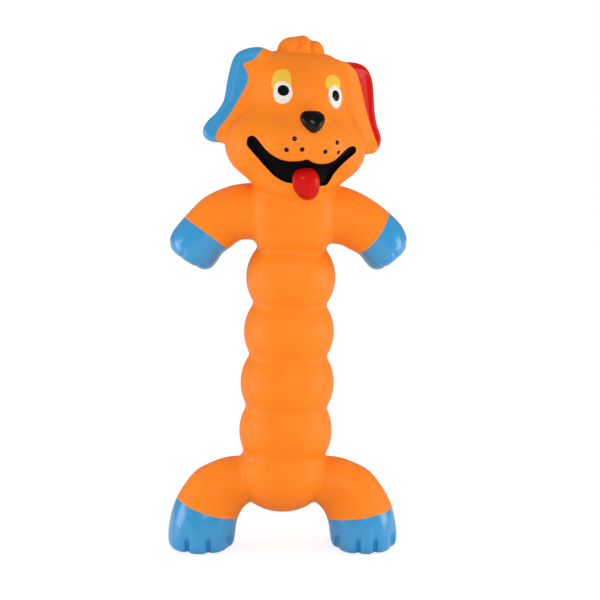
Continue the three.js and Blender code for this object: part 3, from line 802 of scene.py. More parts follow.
RIGHT_EAR = EarForm(
    side=Side.RIGHT,
    outer=(
        (-5.2, 56.4), (-1.8, 58.0), (2.4, 58.4), (7.0, 57.4), (10.6, 55.3), (12.0, 52.0), (11.9, 47.5),
        (11.0, 40.7), (9.9, 35.0), (9.6, 31.0), (11.2, 25.8), (13.6, 22.4), (14.8, 18.4),
        (13.2, 14.4), (9.2, 12.2), (4.0, 12.0),
    ),
    bare=(
        (-9.0, 62.0), (-4.0, 60.5), (-0.9, 57.2), (-0.6, 55.4), (1.2, 52.4), (3.6, 51.2), (5.4, 50.2),
        (4.6, 48.8), (3.2, 47.2), (1.4, 45.0), (0.5, 42.4), (0.4, 39.8), (1.1, 36.4), (2.1, 31.6),
        (3.2, 26.9), (4.9, 22.4), (6.7, 18.2), (6.4, 15.0), (5.0, 12.2), (3.5, 6.0), (-9.0, 6.0),
    ),
    paint_from=-1.2,
)  # fmt: skip
LEFT_EAR = EarForm(
    side=Side.LEFT,
    outer=(
        (-3.0, 54.6), (1.0, 54.6), (8.2, 54.5), (12.4, 53.4), (14.9, 50.8), (15.9, 46.4), (15.2, 40.6),
        (13.6, 32.0), (13.4, 26.0), (14.3, 21.8), (14.4, 17.9), (11.8, 14.1), (8.0, 11.5), (3.0, 10.9),
    ),
    bare=(
        (-9.0, 60.0), (-2.3, 58.0), (0.6, 55.4), (1.2, 53.4), (3.0, 51.2), (5.0, 49.2), (5.8, 45.4),
        (6.3, 40.5), (6.5, 34.7), (7.4, 26.5), (8.4, 21.6), (9.4, 17.2), (9.2, 13.6), (8.9, 9.0),
        (8.0, 4.0), (-9.0, 4.0),
    ),
    paint_from=0.8,
)  # fmt: skip


@dataclass(frozen=True)
class TuftForm:
    """A tuft of curls on the crown, in the head's frame, with a line pressed in below them."""

    # centre x, y, z, radius x, y, z
    curls: tuple[tuple[float, ...], ...] = (
        (-7.2, 1.8, 57.4, 4.6, 5.6, 6.0),
        (-4.2, 1.6, 58.2, 4.6, 6.0, 6.2),
        (0.2, 1.4, 58.8, 4.8, 6.4, 6.7),
        (6.4, 1.8, 57.4, 4.6, 6.0, 6.0),
        (0.6, 6.5, 56.8, 9.4, 4.4, 6.2),
    )
    crease: float = 2.6
    fillet: float = 0.6
    # x, z of both ends of each line pressed into the front
    marks: tuple[tuple[float, ...], ...] = (
        (-3.6, 59.0, -1.8, 61.2),
        (-1.8, 61.2, -2.9, 62.2),
        (-1.8, 61.2, -0.2, 62.0),
        (3.7, 58.6, 3.9, 62.8),
    )
    mark_depth: float = 0.7
    mark_width: float = 0.6

    def distance(self, local: np.ndarray) -> np.ndarray:
        """Distance to the curls.

        Args:
            local: Places in the head's frame.

        Returns:
            Distances, negative inside.
        """
        joined = None
        for x, y, z, wide, deep, high in self.curls:
            curl = ellipsoid(local, np.array([x, y, z]), np.array([wide, deep, high]))
            joined = curl if joined is None else smooth_union(joined, curl, self.crease)
        near = np.full(len(local), FAR)
        for x0, z0, x1, z1 in self.marks:
            start, edge = np.array([x0, z0]), np.array([x1 - x0, z1 - z0])
            offset = local[:, [0, 2]] - start
            share = np.clip(offset @ edge / (edge @ edge), 0, 1)
            near = np.minimum(near, np.linalg.norm(offset - share[:, None] * edge, axis=1))
        return joined + self.mark_depth * (local[:, 1] < 0) * np.exp(-((near / self.mark_width) ** 2))


@dataclass(frozen=True)
class LatexForm:
    """The whole moulding."""

    torso: Torso = Torso()
    arms: Arms = Arms()
    legs: Legs = Legs()
    head: HeadForm = HeadForm()
    tuft: TuftForm = TuftForm()
    ears: tuple[EarForm, EarForm] = (RIGHT_EAR, LEFT_EAR)
    arm_fillet: float = 1.5
    leg_fillet: float = 1.2
    neck_fillet: float = 2.2
    collar_depth: float = 4.2
    collar_front: float = 8.0
    collar_sides: tuple[float, float] = (16.0, 22.0)
    margin: float = 8.0
    head_low: tuple[float, float, float] = (-54.0, -44.0, -20.0)
    head_high: tuple[float, float, float] = (54.0, 36.0, 68.0)
    ear_low: tuple[float, float, float] = (12.0, -14.0, 2.0)
    ear_high: tuple[float, float, float] = (60.0, 34.0, 66.0)

    def body(self, points: np.ndarray) -> np.ndarray:
        """Distance to the torso and limbs.

        Args:
            points: Places, one a row.

        Returns:
            Distances, negative inside.
        """
        joined = self.torso.distance(points)
        for side in Side:
            for limbs, fillet in ((self.arms, self.arm_fillet), (self.legs, self.leg_fillet)):
                low, high = limbs.limb(side).box(self.margin)
                distance = partial(limbs.distance, side=side)
                joined = smooth_union(joined, inside_box(points, low, high, distance), fillet)
        return joined

    def ear(self, local: np.ndarray, ear: EarForm) -> np.ndarray:
        """Distance to one ear, inside its own box.

        Args:
            local: Places in the head's frame.
            ear: Which ear.

        Returns:
            Distances, negative inside.
        """
        flip = np.array([ear.side.value, 1, 1])
        low, high = np.array(self.ear_low), np.array(self.ear_high)
        return inside_box(local * flip, low, high, lambda near: ear.distance(near * flip))

    def whole_head(self, points: np.ndarray) -> np.ndarray:
        """Distance to the head with its ears and tuft.

        Args:
            points: Places, one a row.

        Returns:
            Distances, negative inside.
        """

        def distance(near: np.ndarray) -> np.ndarray:
            """The same in the head's own frame.

            Args:
                near: Places in the head's frame.

            Returns:
                Distances, negative inside.
            """
            joined = self.head.distance(near)
            for ear in self.ears:
                joined = smooth_union(joined, self.ear(near, ear), ear.fillet)
            return smooth_union(joined, self.tuft.distance(near), self.tuft.fillet)

        local = self.head.local(points)
        return inside_box(local, np.array(self.head_low), np.array(self.head_high), distance)

    def collar(self, points: np.ndarray) -> np.ndarray:
        """How far below the chin the head's piece runs down the front of the chest.

        Args:
            points: Places, one a row.

        Returns:
            One depth for each place, 0 at the sides and the back.
        """
        offset = points - PIVOTS["head"]
        front = smooth_step(-offset[:, 1], 0.0, self.collar_front)
        middle = 1 - smooth_step(np.abs(offset[:, 0]), *self.collar_sides)
        return self.collar_depth * front * middle

    def past_neck(self, points: np.ndarray) -> np.ndarray:
        """Below 0 on the head's piece, and above 0 on the body's."""
        return self.whole_head(points) - self.body(points) - self.collar(points)

    def whole(self, points: np.ndarray) -> np.ndarray:
        """Distance to the moulding's surface."""
        return smooth_union(self.body(points), self.whole_head(points), self.neck_fillet)


# Meshes on the moulding's surface


def gradient(distance: Field, points: np.ndarray, step: float = 0.05) -> np.ndarray:
    """Slope of a field.

    Args:
        distance: The field.
        points: Where it is taken.
        step: Half the distance between the samples.

    Returns:
        One vector a row.
    """
    corners = np.array([[1, -1, -1], [-1, -1, 1], [-1, 1, -1], [1, 1, 1]], float)
    total = np.zeros_like(points)
    for corner in corners:
        total += corner * distance(points + corner * step)[:, None]
    return total / (4 * step)


def to_surface(distance: Field, points: np.ndarray, rounds: int, most: float = 0.8) -> np.ndarray:
    """Moves points along the slope until they lie on a field's zero surface.

    Args:
        distance: The field.
        points: The points, one a row.
        rounds: How often they move.
        most: The longest move.

    Returns:
        The moved points.
    """
    for _ in range(rounds):
        slope = gradient(distance, points)
        length = np.maximum(np.einsum("ij,ij->i", slope, slope), 0.05)
        move = (distance(points) / length)[:, None] * slope
        size = np.linalg.norm(move, axis=1)
        points = points - move * np.minimum(1, most / np.maximum(size, 1e-9))[:, None]
    return points


@dataclass
class Skin:
    """Triangles on a field's surface."""

    points: np.ndarray
    faces: np.ndarray
    distance: Field

    SNAP = 0.2
    BLOCK = 4

    @classmethod
    def grown(cls, distance: Field, low: np.ndarray, high: np.ndarray, step: float) -> "Skin":
        """Meshes a field's zero surface in a box.

        Args:
            distance: The field.
            low: The box's lowest corner.
            high: The box's highest corner.
            step: Size of the cells.

        Returns:
            The surface, with even triangles.
        """
        coarse = np.ceil((high - low) / (step * cls.BLOCK)).astype(int) + 1
        count = coarse * cls.BLOCK
        places = np.indices(coarse).reshape(3, -1).T * cls.BLOCK + (cls.BLOCK - 1) / 2
        near = distance(low + step * places)
        values = np.repeat(near.reshape(coarse), cls.BLOCK, axis=0)
        values = np.repeat(np.repeat(values, cls.BLOCK, axis=1), cls.BLOCK, axis=2)
        fine = np.abs(values) < 1.7 * cls.BLOCK * step
        values[fine] = distance(low + step * np.argwhere(fine))
        inside = values < 0
        corners = [(a, b, c) for a in (0, 1) for b in (0, 1) for c in (0, 1)]

        def at(array: np.ndarray, corner: tuple[int, int, int]) -> np.ndarray:
            """The array's values at one corner of every cell."""
            return array[tuple(slice(c, n - 1 + c) for c, n in zip(corner, count))]

        filled = sum(at(inside, corner).astype(np.int8) for corner in corners)
        active = (filled > 0) & (filled < 8)
        cells = np.argwhere(active)
        index = np.full(active.shape, -1, np.int32)
        index[active] = np.arange(len(cells))
        total = np.zeros((len(cells), 3))
        hits = np.zeros(len(cells))
        for corner in corners:
            for axis in range(3):
                if corner[axis]:
                    continue
                other = tuple(1 if k == axis else c for k, c in enumerate(corner))
                a, b = at(values, corner)[active], at(values, other)[active]
                crossed = (a < 0) != (b < 0)
                share = a[crossed] / (a[crossed] - b[crossed])
                place = np.tile(np.array(corner, float), (crossed.sum(), 1))
                place[:, axis] = share
                total[crossed] += place
                hits[crossed] += 1
        points = low + step * (cells + total / hits[:, None])
        quads = []
        for axis in range(3):
            second, third = (axis + 1) % 3, (axis + 2) % 3
            first_end, last_end = [slice(None)] * 3, [slice(None)] * 3
            first_end[axis], last_end[axis] = slice(0, -1), slice(1, None)
            before, after = inside[tuple(first_end)], inside[tuple(last_end)]
            edges = np.argwhere(before != after)
            keep = (edges[:, second] > 0) & (edges[:, third] > 0)
            keep &= (edges[:, second] < count[second] - 1) & (edges[:, third] < count[third] - 1)
            edges = edges[keep]
            outward = before[tuple(edges.T)]
            ring = []
            for back_second, back_third in ((1, 1), (0, 1), (0, 0), (1, 0)):
                cell = edges.copy()
                cell[:, second] -= back_second
                cell[:, third] -= back_third
                ring.append(index[tuple(cell.T)])
            ring = np.column_stack(ring)
            ring[~outward] = ring[~outward][:, ::-1]
            quads.append(ring)
        quads = np.vstack(quads)
        skin = cls(points, quads, distance)
        skin.relax(rounds=5)
        diagonal = np.linalg.norm(skin.points[quads[:, 0]] - skin.points[quads[:, 2]], axis=1)
        crossing = np.linalg.norm(skin.points[quads[:, 1]] - skin.points[quads[:, 3]], axis=1)
        short = (diagonal <= crossing)[:, None]
        first = np.where(short, quads[:, [0, 1, 2]], quads[:, [0, 1, 3]])
        last = np.where(short, quads[:, [0, 2, 3]], quads[:, [1, 2, 3]])
        skin.faces = np.vstack([first, last])
        return skin

    def relax(self, rounds: int) -> None:
        """Evens out the mesh along the surface, and keeps its points on it.

        Args:
            rounds: How often the points move.
        """
        sides = self.faces.shape[1]
        edges = np.vstack([self.faces[:, [k, (k + 1) % sides]] for k in range(sides)])
        both = np.vstack([edges, edges[:, ::-1]])
        degree = np.bincount(both[:, 0], minlength=len(self.points))
        self.points = to_surface(self.distance, self.points, 2)
        for _ in range(rounds):
            mean = np.column_stack(
                [np.bincount(both[:, 0], self.points[both[:, 1], k], len(self.points)) for k in range(3)]
            )
            mean /= np.maximum(degree, 1)[:, None]
            slope = gradient(self.distance, self.points)
            normal = slope / np.maximum(np.linalg.norm(slope, axis=1), 1e-9)[:, None]
            move = 0.6 * (mean - self.points)
            move -= np.einsum("ij,ij->i", move, normal)[:, None] * normal
            self.points = to_surface(self.distance, self.points + move, 1)
        self.points = to_surface(self.distance, self.points, 2)

    def divide(self, level: Field) -> None:
        """Cuts the triangles along a level set, so that each lies on one side of it.

        Args:
            level: The field whose zero surface cuts.
        """
        values = level(self.points)
        edges = np.vstack([self.faces[:, [k, (k + 1) % 3]] for k in range(3)])
        edges = np.unique(np.sort(edges, axis=1), axis=0)

        def crossed() -> tuple[np.ndarray, np.ndarray]:
            """Edges that the level crosses, and where along each.

            Returns:
                The edges, and a share from 0 to 1 for each.
            """
            a, b = values[edges[:, 0]], values[edges[:, 1]]
            hit = a * b < 0
            return edges[hit], (a[hit] / (a[hit] - b[hit]))

        cut, share = crossed()
        places = self.points[cut[:, 0]] * (1 - share[:, None]) + self.points[cut[:, 1]] * share[:, None]
        for end, near in ((0, share < self.SNAP), (1, share > 1 - self.SNAP)):
            self.points[cut[near, end]] = places[near]
            values[cut[near, end]] = 0
        cut, share = crossed()
        places = self.points[cut[:, 0]] * (1 - share[:, None]) + self.points[cut[:, 1]] * share[:, None]
        moved = np.nonzero(values == 0)[0]
        if len(moved):
            self.points[moved] = to_surface(self.distance, self.points[moved], 2)
        if not len(cut):
            return
        places = to_surface(self.distance, places, 2)
        count = len(self.points)
        keys = cut[:, 0].astype(np.int64) * count + cut[:, 1]
        order = np.argsort(keys)

        def middle(a: np.ndarray, b: np.ndarray) -> np.ndarray:
            """Index of the new point between two old ones."""
            key = np.minimum(a, b).astype(np.int64) * count + np.maximum(a, b)
            return count + order[np.searchsorted(keys[order], key)]

        sign = np.sign(values[self.faces])
        mixed = (sign.min(axis=1) < 0) & (sign.max(axis=1) > 0)
        whole, faces, sign = self.faces[~mixed], self.faces[mixed], sign[mixed]
        on_level = (sign == 0).any(axis=1)
        made = [whole]
        rows = np.arange(on_level.sum())
        first = (sign[on_level] == 0).argmax(axis=1)
        turned = [faces[on_level][rows, (first + k) % 3] for k in range(3)]
        new = middle(turned[1], turned[2])
        made += [np.column_stack([turned[0], turned[1], new]), np.column_stack([turned[0], new, turned[2]])]
        faces, sign = faces[~on_level], sign[~on_level]
        rows = np.arange(len(faces))
        lone = (sign * sign.sum(axis=1)[:, None] < 0).argmax(axis=1)
        a, b, c = (faces[rows, (lone + k) % 3] for k in range(3))
        ab, ac = middle(a, b), middle(a, c)
        made += [np.column_stack([a, ab, ac]), np.column_stack([ab, b, c]), np.column_stack([ab, c, ac])]
        self.points = np.vstack([self.points, places])
        self.faces = np.vstack(made)

    def over(self, level: Field) -> np.ndarray:
        """Which faces lie where a level is above 0."""
        return level(self.points)[self.faces].mean(axis=1) > 0

    def part(self, kept: np.ndarray) -> "Skin":
        """The faces that are kept, as a skin of its own."""
        used, index = np.unique(self.faces[kept], return_inverse=True)
        return Skin(self.points[used].copy(), index.reshape(-1, 3), self.distance)

    def largest(self) -> "Skin":
        """The skin without loose scraps.

        Returns:
            Its largest connected part.
        """
        root = np.arange(len(self.points))
        while True:
            low = root[self.faces].min(axis=1)
            before = root.copy()
            for k in range(3):
                np.minimum.at(root, self.faces[:, k], low)
            root = root[root]
            if np.array_equal(root, before):
                break
        groups, sizes = np.unique(root[self.faces[:, 0]], return_counts=True)
        return self.part(root[self.faces[:, 0]] == groups[sizes.argmax()])

    def shell(self, name: str, wall: float) -> bpy.types.Object:
        """Gives the skin a thickness, and makes it an object.

        Args:
            name: The object's name.
            wall: The thickness.

        Returns:
            The object, with the surface's true normals.
        """
        slope = gradient(self.distance, self.points)
        normals = slope / np.maximum(np.linalg.norm(slope, axis=1), 1e-9)[:, None]
        count = len(self.points)
        edges = np.vstack([self.faces[:, [0, 1]], self.faces[:, [1, 2]], self.faces[:, [2, 0]]])
        forward = edges[:, 0].astype(np.int64) * count + edges[:, 1]
        backward = edges[:, 1].astype(np.int64) * count + edges[:, 0]
        open_edges = edges[~np.isin(forward, backward)]
        a, b = open_edges.T
        rim = np.vstack([np.column_stack([b, a, a + count]), np.column_stack([b, a + count, b + count])])
        points = np.vstack([self.points, self.points - wall * normals])
        faces = np.vstack([self.faces, self.faces[:, ::-1] + count, rim])
        flat = np.cross(points[rim[:, 1]] - points[rim[:, 0]], points[rim[:, 2]] - points[rim[:, 0]])
        flat /= np.maximum(np.linalg.norm(flat, axis=1), 1e-12)[:, None]
        corner_normals = np.concatenate(
            [normals[self.faces], -normals[self.faces[:, ::-1]], np.repeat(flat[:, None], 3, axis=1)]
        )
        return make_object(name, points, faces, corner_normals)


def make_object(
    name: str, points: np.ndarray, faces: np.ndarray, corner_normals: np.ndarray | None = None
) -> bpy.types.Object:
    """Makes an object from triangles in millimetres.

    Args:
        name: Its name.
        points: Corners.
        faces: Triangles.
        corner_normals: A normal for each corner of each triangle, if they are known.

    Returns:
        The object, at the origin.
    """
    mesh = bpy.data.meshes.new(name)
    mesh.vertices.add(len(points))
    mesh.vertices.foreach_set("co", (points * METRES).ravel())
    mesh.loops.add(faces.size)
    mesh.loops.foreach_set("vertex_index", faces.ravel().astype(np.int32))
    mesh.polygons.add(len(faces))
    mesh.polygons.foreach_set("loop_start", np.arange(0, faces.size, faces.shape[1], dtype=np.int32))
    mesh.update(calc_edges=True)
    mesh.polygons.foreach_set("use_smooth", np.ones(len(faces), bool))
    if corner_normals is not None:
        mesh.normals_split_custom_set(corner_normals.reshape(-1, 3).tolist())
    thing = bpy.data.objects.new(name, mesh)
    bpy.context.scene.collection.objects.link(thing)
    return thing


# Materials


@dataclass(frozen=True)
class Socket:
    """A node's output in a material, with arithmetic that adds Math nodes."""

    tree: bpy.types.NodeTree
    link: object

    def math(self, operation: str, other: "Socket | float", swapped: bool = False) -> "Socket":
        """One Math node on this value and another."""
        pair = [other, self] if swapped else [self, other]
        return add_node(self.tree, "ShaderNodeMath", {"operation": operation}, {0: pair[0], 1: pair[1]})

    def __add__(self, other: "Socket | float") -> "Socket":
        """The sum."""
        return self.math("ADD", other)

    __radd__ = __add__

    def __sub__(self, other: "Socket | float") -> "Socket":
        """The difference."""
        return self.math("SUBTRACT", other)

    def __rsub__(self, other: "Socket | float") -> "Socket":
        """A number less this value."""
        return self.math("SUBTRACT", other, swapped=True)

    def __mul__(self, other: "Socket | float") -> "Socket":
        """The product."""
        return self.math("MULTIPLY", other)

    __rmul__ = __mul__


def add_node(
    tree: bpy.types.NodeTree, kind: str, settings: dict, inputs: dict, output: int | str = 0
) -> Socket:
    """Adds a node.

    Args:
        tree: The material's node tree.
        kind: The node's type.
        settings: Its own settings, which are set first.
        inputs: A value or a Socket for each input, by name or number.
        output: The output that is wanted.

    Returns:
        That output.
    """
    node = tree.nodes.new(kind)
    for key, value in settings.items():
        setattr(node, key, value)
    for key, value in inputs.items():
        if isinstance(value, Socket):
            tree.links.new(value.link, node.inputs[key])
        else:
            node.inputs[key].default_value = value
    return Socket(tree, node.outputs[output]) if node.outputs else Socket(tree, None)


def srgb(red: float, green: float, blue: float) -> tuple[float, float, float, float]:
    """A colour in 0 to 255 as Blender's linear one.

    Args:
        red: The first channel.
        green: The second.
        blue: The third.

    Returns:
        The colour with its alpha.
    """

    def linear(value: float) -> float:
        """One channel."""
        share = value / 255
        return share / 12.92 if share <= 0.04045 else ((share + 0.055) / 1.055) ** 2.4

    return linear(red), linear(green), linear(blue), 1.0


@dataclass(frozen=True)
class Finish:
    """A moulded or painted surface: two tones that drift, an uneven gloss and a soft bump."""

    name: str
    slot: str
    tone: tuple[float, float, float]
    second_tone: tuple[float, float, float]
    roughness: float
    roughness_drift: float = 0.08
    coat: float = 0.0
    coat_roughness: float = 0.1
    drift_scale: float = 45.0
    grain_scale: float = 900.0
    grain_height: float = 0.00004
    wave_scale: float = 130.0
    wave_height: float = 0.0
    specular: float = 0.5
    fibres: bool = False

    def material(self) -> bpy.types.Material:
        """The finish as a material, made once.

        Returns:
            The material.
        """
        known = bpy.data.materials.get(self.name)
        if known:
            return known
        material = bpy.data.materials.new(self.name)
        material.use_nodes = True
        tree = material.node_tree
        tree.nodes.clear()
        place = add_node(tree, "ShaderNodeTexCoord", {}, {}, "Object")
        drift = self.noise(tree, place, self.drift_scale, 3.0)
        colour = add_node(
            tree,
            "ShaderNodeMix",
            {"data_type": "RGBA"},
            {"Factor": drift, 6: srgb(*self.tone), 7: srgb(*self.second_tone)},
            2,
        )
        rough = drift * self.roughness_drift + (self.roughness - self.roughness_drift / 2)
        grain = self.noise(tree, place, self.grain_scale, 4.0)
        height = grain * self.grain_height
        if self.wave_height:
            height = height + self.noise(tree, place, self.wave_scale, 1.0) * self.wave_height
        if self.fibres:
            height = height + self.strands(tree, place) * self.wave_height
        normal = add_node(tree, "ShaderNodeBump", {}, {"Strength": 1.0, "Distance": 1.0, "Height": height})
        shader = add_node(
            tree,
            "ShaderNodeBsdfPrincipled",
            {},
            {
                "Base Color": colour,
                "Roughness": rough,
                "Normal": normal,
                "Coat Weight": self.coat,
                "Coat Roughness": self.coat_roughness,
                "Specular IOR Level": self.specular,
            },
        )
        add_node(tree, "ShaderNodeOutputMaterial", {}, {"Surface": shader})
        return material

    def noise(self, tree: bpy.types.NodeTree, place: Socket, scale: float, detail: float) -> Socket:
        """A noise from 0 to 1 on the object's own coordinates."""
        return add_node(tree, "ShaderNodeTexNoise", {}, {"Vector": place, "Scale": scale, "Detail": detail})

    def strands(self, tree: bpy.types.NodeTree, place: Socket) -> Socket:
        """Fine crossing strands.

        Args:
            tree: The material's node tree.
            place: Coordinates.

        Returns:
            A height from 0 to 1.
        """
        stretched = add_node(
            tree, "ShaderNodeVectorMath", {"operation": "MULTIPLY"}, {0: place, 1: (1.0, 6.0, 2.0)}
        )
        noise = {"Vector": stretched, "Scale": 420.0, "Distortion": 1.6}
        return add_node(tree, "ShaderNodeTexNoise", {}, noise)

    def dress(self, thing: bpy.types.Object) -> bpy.types.Object:
        """Puts the finish on an object.

        Args:
            thing: The object.

        Returns:
            The same object.
        """
        thing.data.materials.clear()
        thing.data.materials.append(self.material())
        return thing


ORANGE = Finish("latex orange", "latex_orange", (255, 129, 8), (255, 139, 18), 0.5, specular=0.28)
BLUE = Finish(
    "blue paint", "paint_blue", (38, 147, 206), (52, 156, 214), 0.28, coat=0.4, wave_height=0.00022
)
RED = Finish(
    "red paint", "paint_red", (204, 12, 8), (210, 20, 14), 0.2, coat=0.1, wave_height=0.00018, specular=0.1
)
BLACK = Finish("black paint", "paint_black", (7, 6, 5), (12, 10, 9), 0.34, coat=0.3, specular=0.08)
MOUTH = Finish("mouth paint", "paint_black", (7, 6, 5), (12, 10, 9), 0.55, specular=0.06)
WHITE = Finish("white paint", "paint_white", (243, 234, 222), (236, 226, 212), 0.34, coat=0.2)
YELLOW = Finish("yellow paint", "paint_yellow", (246, 200, 62), (240, 188, 48), 0.36, coat=0.2)
FIBRE = Finish(
    "fibre",
    "fibre_fill",
    (238, 238, 232),
    (250, 250, 246),
    0.95,
    wave_height=0.0004,
    fibres=True,
    specular=0.2,
)
PLASTIC = Finish("squeaker plastic", "squeaker_plastic", (232, 231, 224), (241, 240, 235), 0.42)
FILM = Finish("reed film", "reed_film", (205, 210, 216), (222, 226, 230), 0.25, coat=0.4, wave_height=0.0001)


# Pieces of the moulding


@dataclass
class BodyLatex:
    """The torso's and limbs' skin, cut into pieces at its creases, roots and paint edges."""

    form: LatexForm
    cell: float = 1.0
    wall: float = 1.6
    low: tuple[float, float, float] = (-62.0, -24.0, -3.0)
    high: tuple[float, float, float] = (62.0, 34.0, 204.0)
    hips_top: float = 45.0
    leg_angle: float = 35.0
    leg_start: float = 17.0
    leg_end: float = 29.0
    arm_cut: float = 22.6
    arm_end: float = 34.0
    arm_floor: float = 137.5
    crease_below: float = 1.2
    crease_above: float = 4.6
    chest_crease_above: float = 2.0
    port_above: float = 3.0
    port_radius: float = 8.95

    def leg_reach(self, points: np.ndarray, side: Side) -> np.ndarray:
        """How far points are out and down along a leg's root.

        Args:
            points: Places, one a row.
            side: Which leg.

        Returns:
            Distances from the hips' centre.
        """
        angle = math.radians(self.leg_angle)
        offset = points - self.form.torso.hips
        return offset[:, 0] * side.value * math.cos(angle) - offset[:, 2] * math.sin(angle)

    def leg_line(self, side: Side, reach: float) -> np.ndarray:
        """The point that far along the leg's root from the hips' centre.

        Args:
            side: Which leg.
            reach: How far.

        Returns:
            The point.
        """
        angle = math.radians(self.leg_angle)
        step = np.array([side.value * math.cos(angle), 0, -math.sin(angle)])
        return self.form.torso.hips + reach * step

    def past_leg_root(self, points: np.ndarray, side: Side) -> np.ndarray:
        """Above 0 on a leg, past the plane where it leaves the hips."""
        return self.leg_reach(points, side) - self.leg_start

    def past_arm_root(self, points: np.ndarray, side: Side) -> np.ndarray:
        """Above 0 on an arm, past the plane where it leaves the chest."""
        out = (points[:, 0] - PIVOTS["chest"][0]) * side.value - self.arm_cut
        return np.minimum(out, points[:, 2] - self.arm_floor)

    def over_hips(self, points: np.ndarray) -> np.ndarray:
        """Above 0 over the plane where the hips' piece ends."""
        return points[:, 2] - self.hips_top

    def along_spine(self, points: np.ndarray, start: float = 0.0) -> np.ndarray:
        """Distance up the spine from a place on it, counted from the first lobe's centre."""
        return (points - PIVOTS["lobe_1"]) @ self.form.torso.spine - start

    def port(self, points: np.ndarray) -> np.ndarray:
        """Below 0 in the squeaker's hole in the back of the chest.

        Args:
            points: Places, one a row.

        Returns:
            Distances.
        """
        centre = PIVOTS["chest"] + np.array([0, 0, self.port_above])
        offset = points - centre
        return np.maximum(np.hypot(offset[:, 0], offset[:, 2]) - self.port_radius, -offset[:, 1])

    def above_chest(self, points: np.ndarray) -> np.ndarray:
        """Above 0 on the head's piece."""
        return -self.form.past_neck(points)

    def crease_heights(self) -> list[float]:
        """Heights along the spine of the five creases, from the hips up.

        Returns:
            The five heights.
        """
        torso = self.form.torso
        hips = self.along_spine(torso.hips[None])[0]
        centres = [hips] + [self.along_spine(c[None])[0] for c in torso.centres]
        centres.append(self.along_spine(PIVOTS["chest"][None])[0])
        radii = [torso.hips_radius, *torso.lobe_radii, torso.chest_radius]
        heights = []
        for below, above, low, high in zip(radii, radii[1:], centres, centres[1:]):
            apart = high - low
            heights.append(low + (apart**2 + below**2 - above**2) / (2 * apart))
        return heights

    def on_spine(self, height: float) -> np.ndarray:
        """The point of the spine at a height along it."""
        return PIVOTS["lobe_1"] + height * self.form.torso.spine

    def build(self) -> list[bpy.types.Object]:
        """Makes the pieces and dresses them.

        Returns:
            The pieces.
        """
        skin = Skin.grown(self.form.whole, np.array(self.low), np.array(self.high), self.cell)
        skin.divide(self.above_chest)
        skin = skin.part(~skin.over(self.above_chest)).largest()
        skin.divide(self.port)
        skin = skin.part(skin.over(self.port)).largest()
        pieces = []
        for side in Side:
            pieces += self.limb_pieces(skin, side, "leg")
            skin = self.without(skin, partial(self.past_leg_root, side=side))
            pieces += self.limb_pieces(skin, side, "arm")
            skin = self.without(skin, partial(self.past_arm_root, side=side))
        pieces += self.torso_pieces(skin)
        return pieces

    def without(self, skin: Skin, level: Field) -> Skin:
        """The skin where a level is below 0."""
        skin.divide(level)
        return skin.part(~skin.over(level)).largest()

    def limb_pieces(self, skin: Skin, side: Side, kind: str) -> list[bpy.types.Object]:
        """Makes one limb's orange part and its painted end.

        Args:
            skin: The skin that still holds the limb.
            side: Which side's limb.
            kind: "arm" or "leg".

        Returns:
            Both pieces.
        """
        if kind == "leg":
            root = partial(self.past_leg_root, side=side)
            paint = partial(self.form.legs.past_ankle, side=side)
            start, end = self.leg_line(side, self.leg_start), self.leg_line(side, self.leg_end)
            carrier, mover, painted_name = "hips", f"leg_{side.word}", f"{side.word}_foot"
        else:
            root = partial(self.past_arm_root, side=side)
            paint = partial(self.form.arms.past_wrist, side=side)
            out = np.array([side.value, 0, 0])
            start, end = (PIVOTS["chest"] + out * reach for reach in (self.arm_cut, self.arm_end))
            carrier, mover, painted_name = "chest", f"arm_{side.word}", f"{side.word}_front_paw"
        skin.divide(root)
        limb = skin.part(skin.over(root)).largest()
        limb.divide(paint)
        painted = limb.over(paint)
        pieces = []
        for name, kept, finish in (
            (f"{side.word}_{kind}", ~painted, ORANGE),
            (painted_name, painted, BLUE),
        ):
            piece = limb.part(kept).largest().shell(name + "_latex", self.wall)
            finish.dress(piece)
            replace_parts(piece, name)
            start * METRES
            end * METRES
            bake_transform(piece)
            pieces.append(piece)
        return pieces

    def torso_pieces(self, skin: Skin) -> list[bpy.types.Object]:
        """Makes the hips, the pieces between the lobes' equators, and the chest.

        Args:
            skin: The skin without its limbs.

        Returns:
            The pieces.
        """
        skin.divide(self.over_hips)
        hips = skin.part(~skin.over(self.over_hips)).largest().shell("hips_latex", self.wall)
        ORANGE.dress(hips)
        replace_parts(hips, "hips_skin")
        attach(hips, "hips")
        pieces = [hips]
        rest = skin.part(skin.over(self.over_hips)).largest()
        creases = self.crease_heights()
        carriers = ["hips", "lobe_1", "lobe_2", "lobe_3", "lobe_4", "chest"]
        for i, crease in enumerate(creases):
            name = carriers[i + 1]
            if i < len(creases) - 1:
                equator = self.along_spine(PIVOTS[name][None])[0]
                over = partial(self.along_spine, start=equator)
                rest.divide(over)
                band = rest.part(~rest.over(over)).largest()
                rest = rest.part(rest.over(over)).largest()
                above = self.crease_above
            else:
                band = rest
                above = self.chest_crease_above
            piece = ORANGE.dress(band.shell(f"{name}_latex", self.wall))
            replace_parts(piece, f"{name}_skin")
            start = self.on_spine(crease - self.crease_below)
            end = self.on_spine(crease + above)
            start * METRES
            end * METRES
            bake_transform(piece)
            pieces.append(piece)
        return pieces


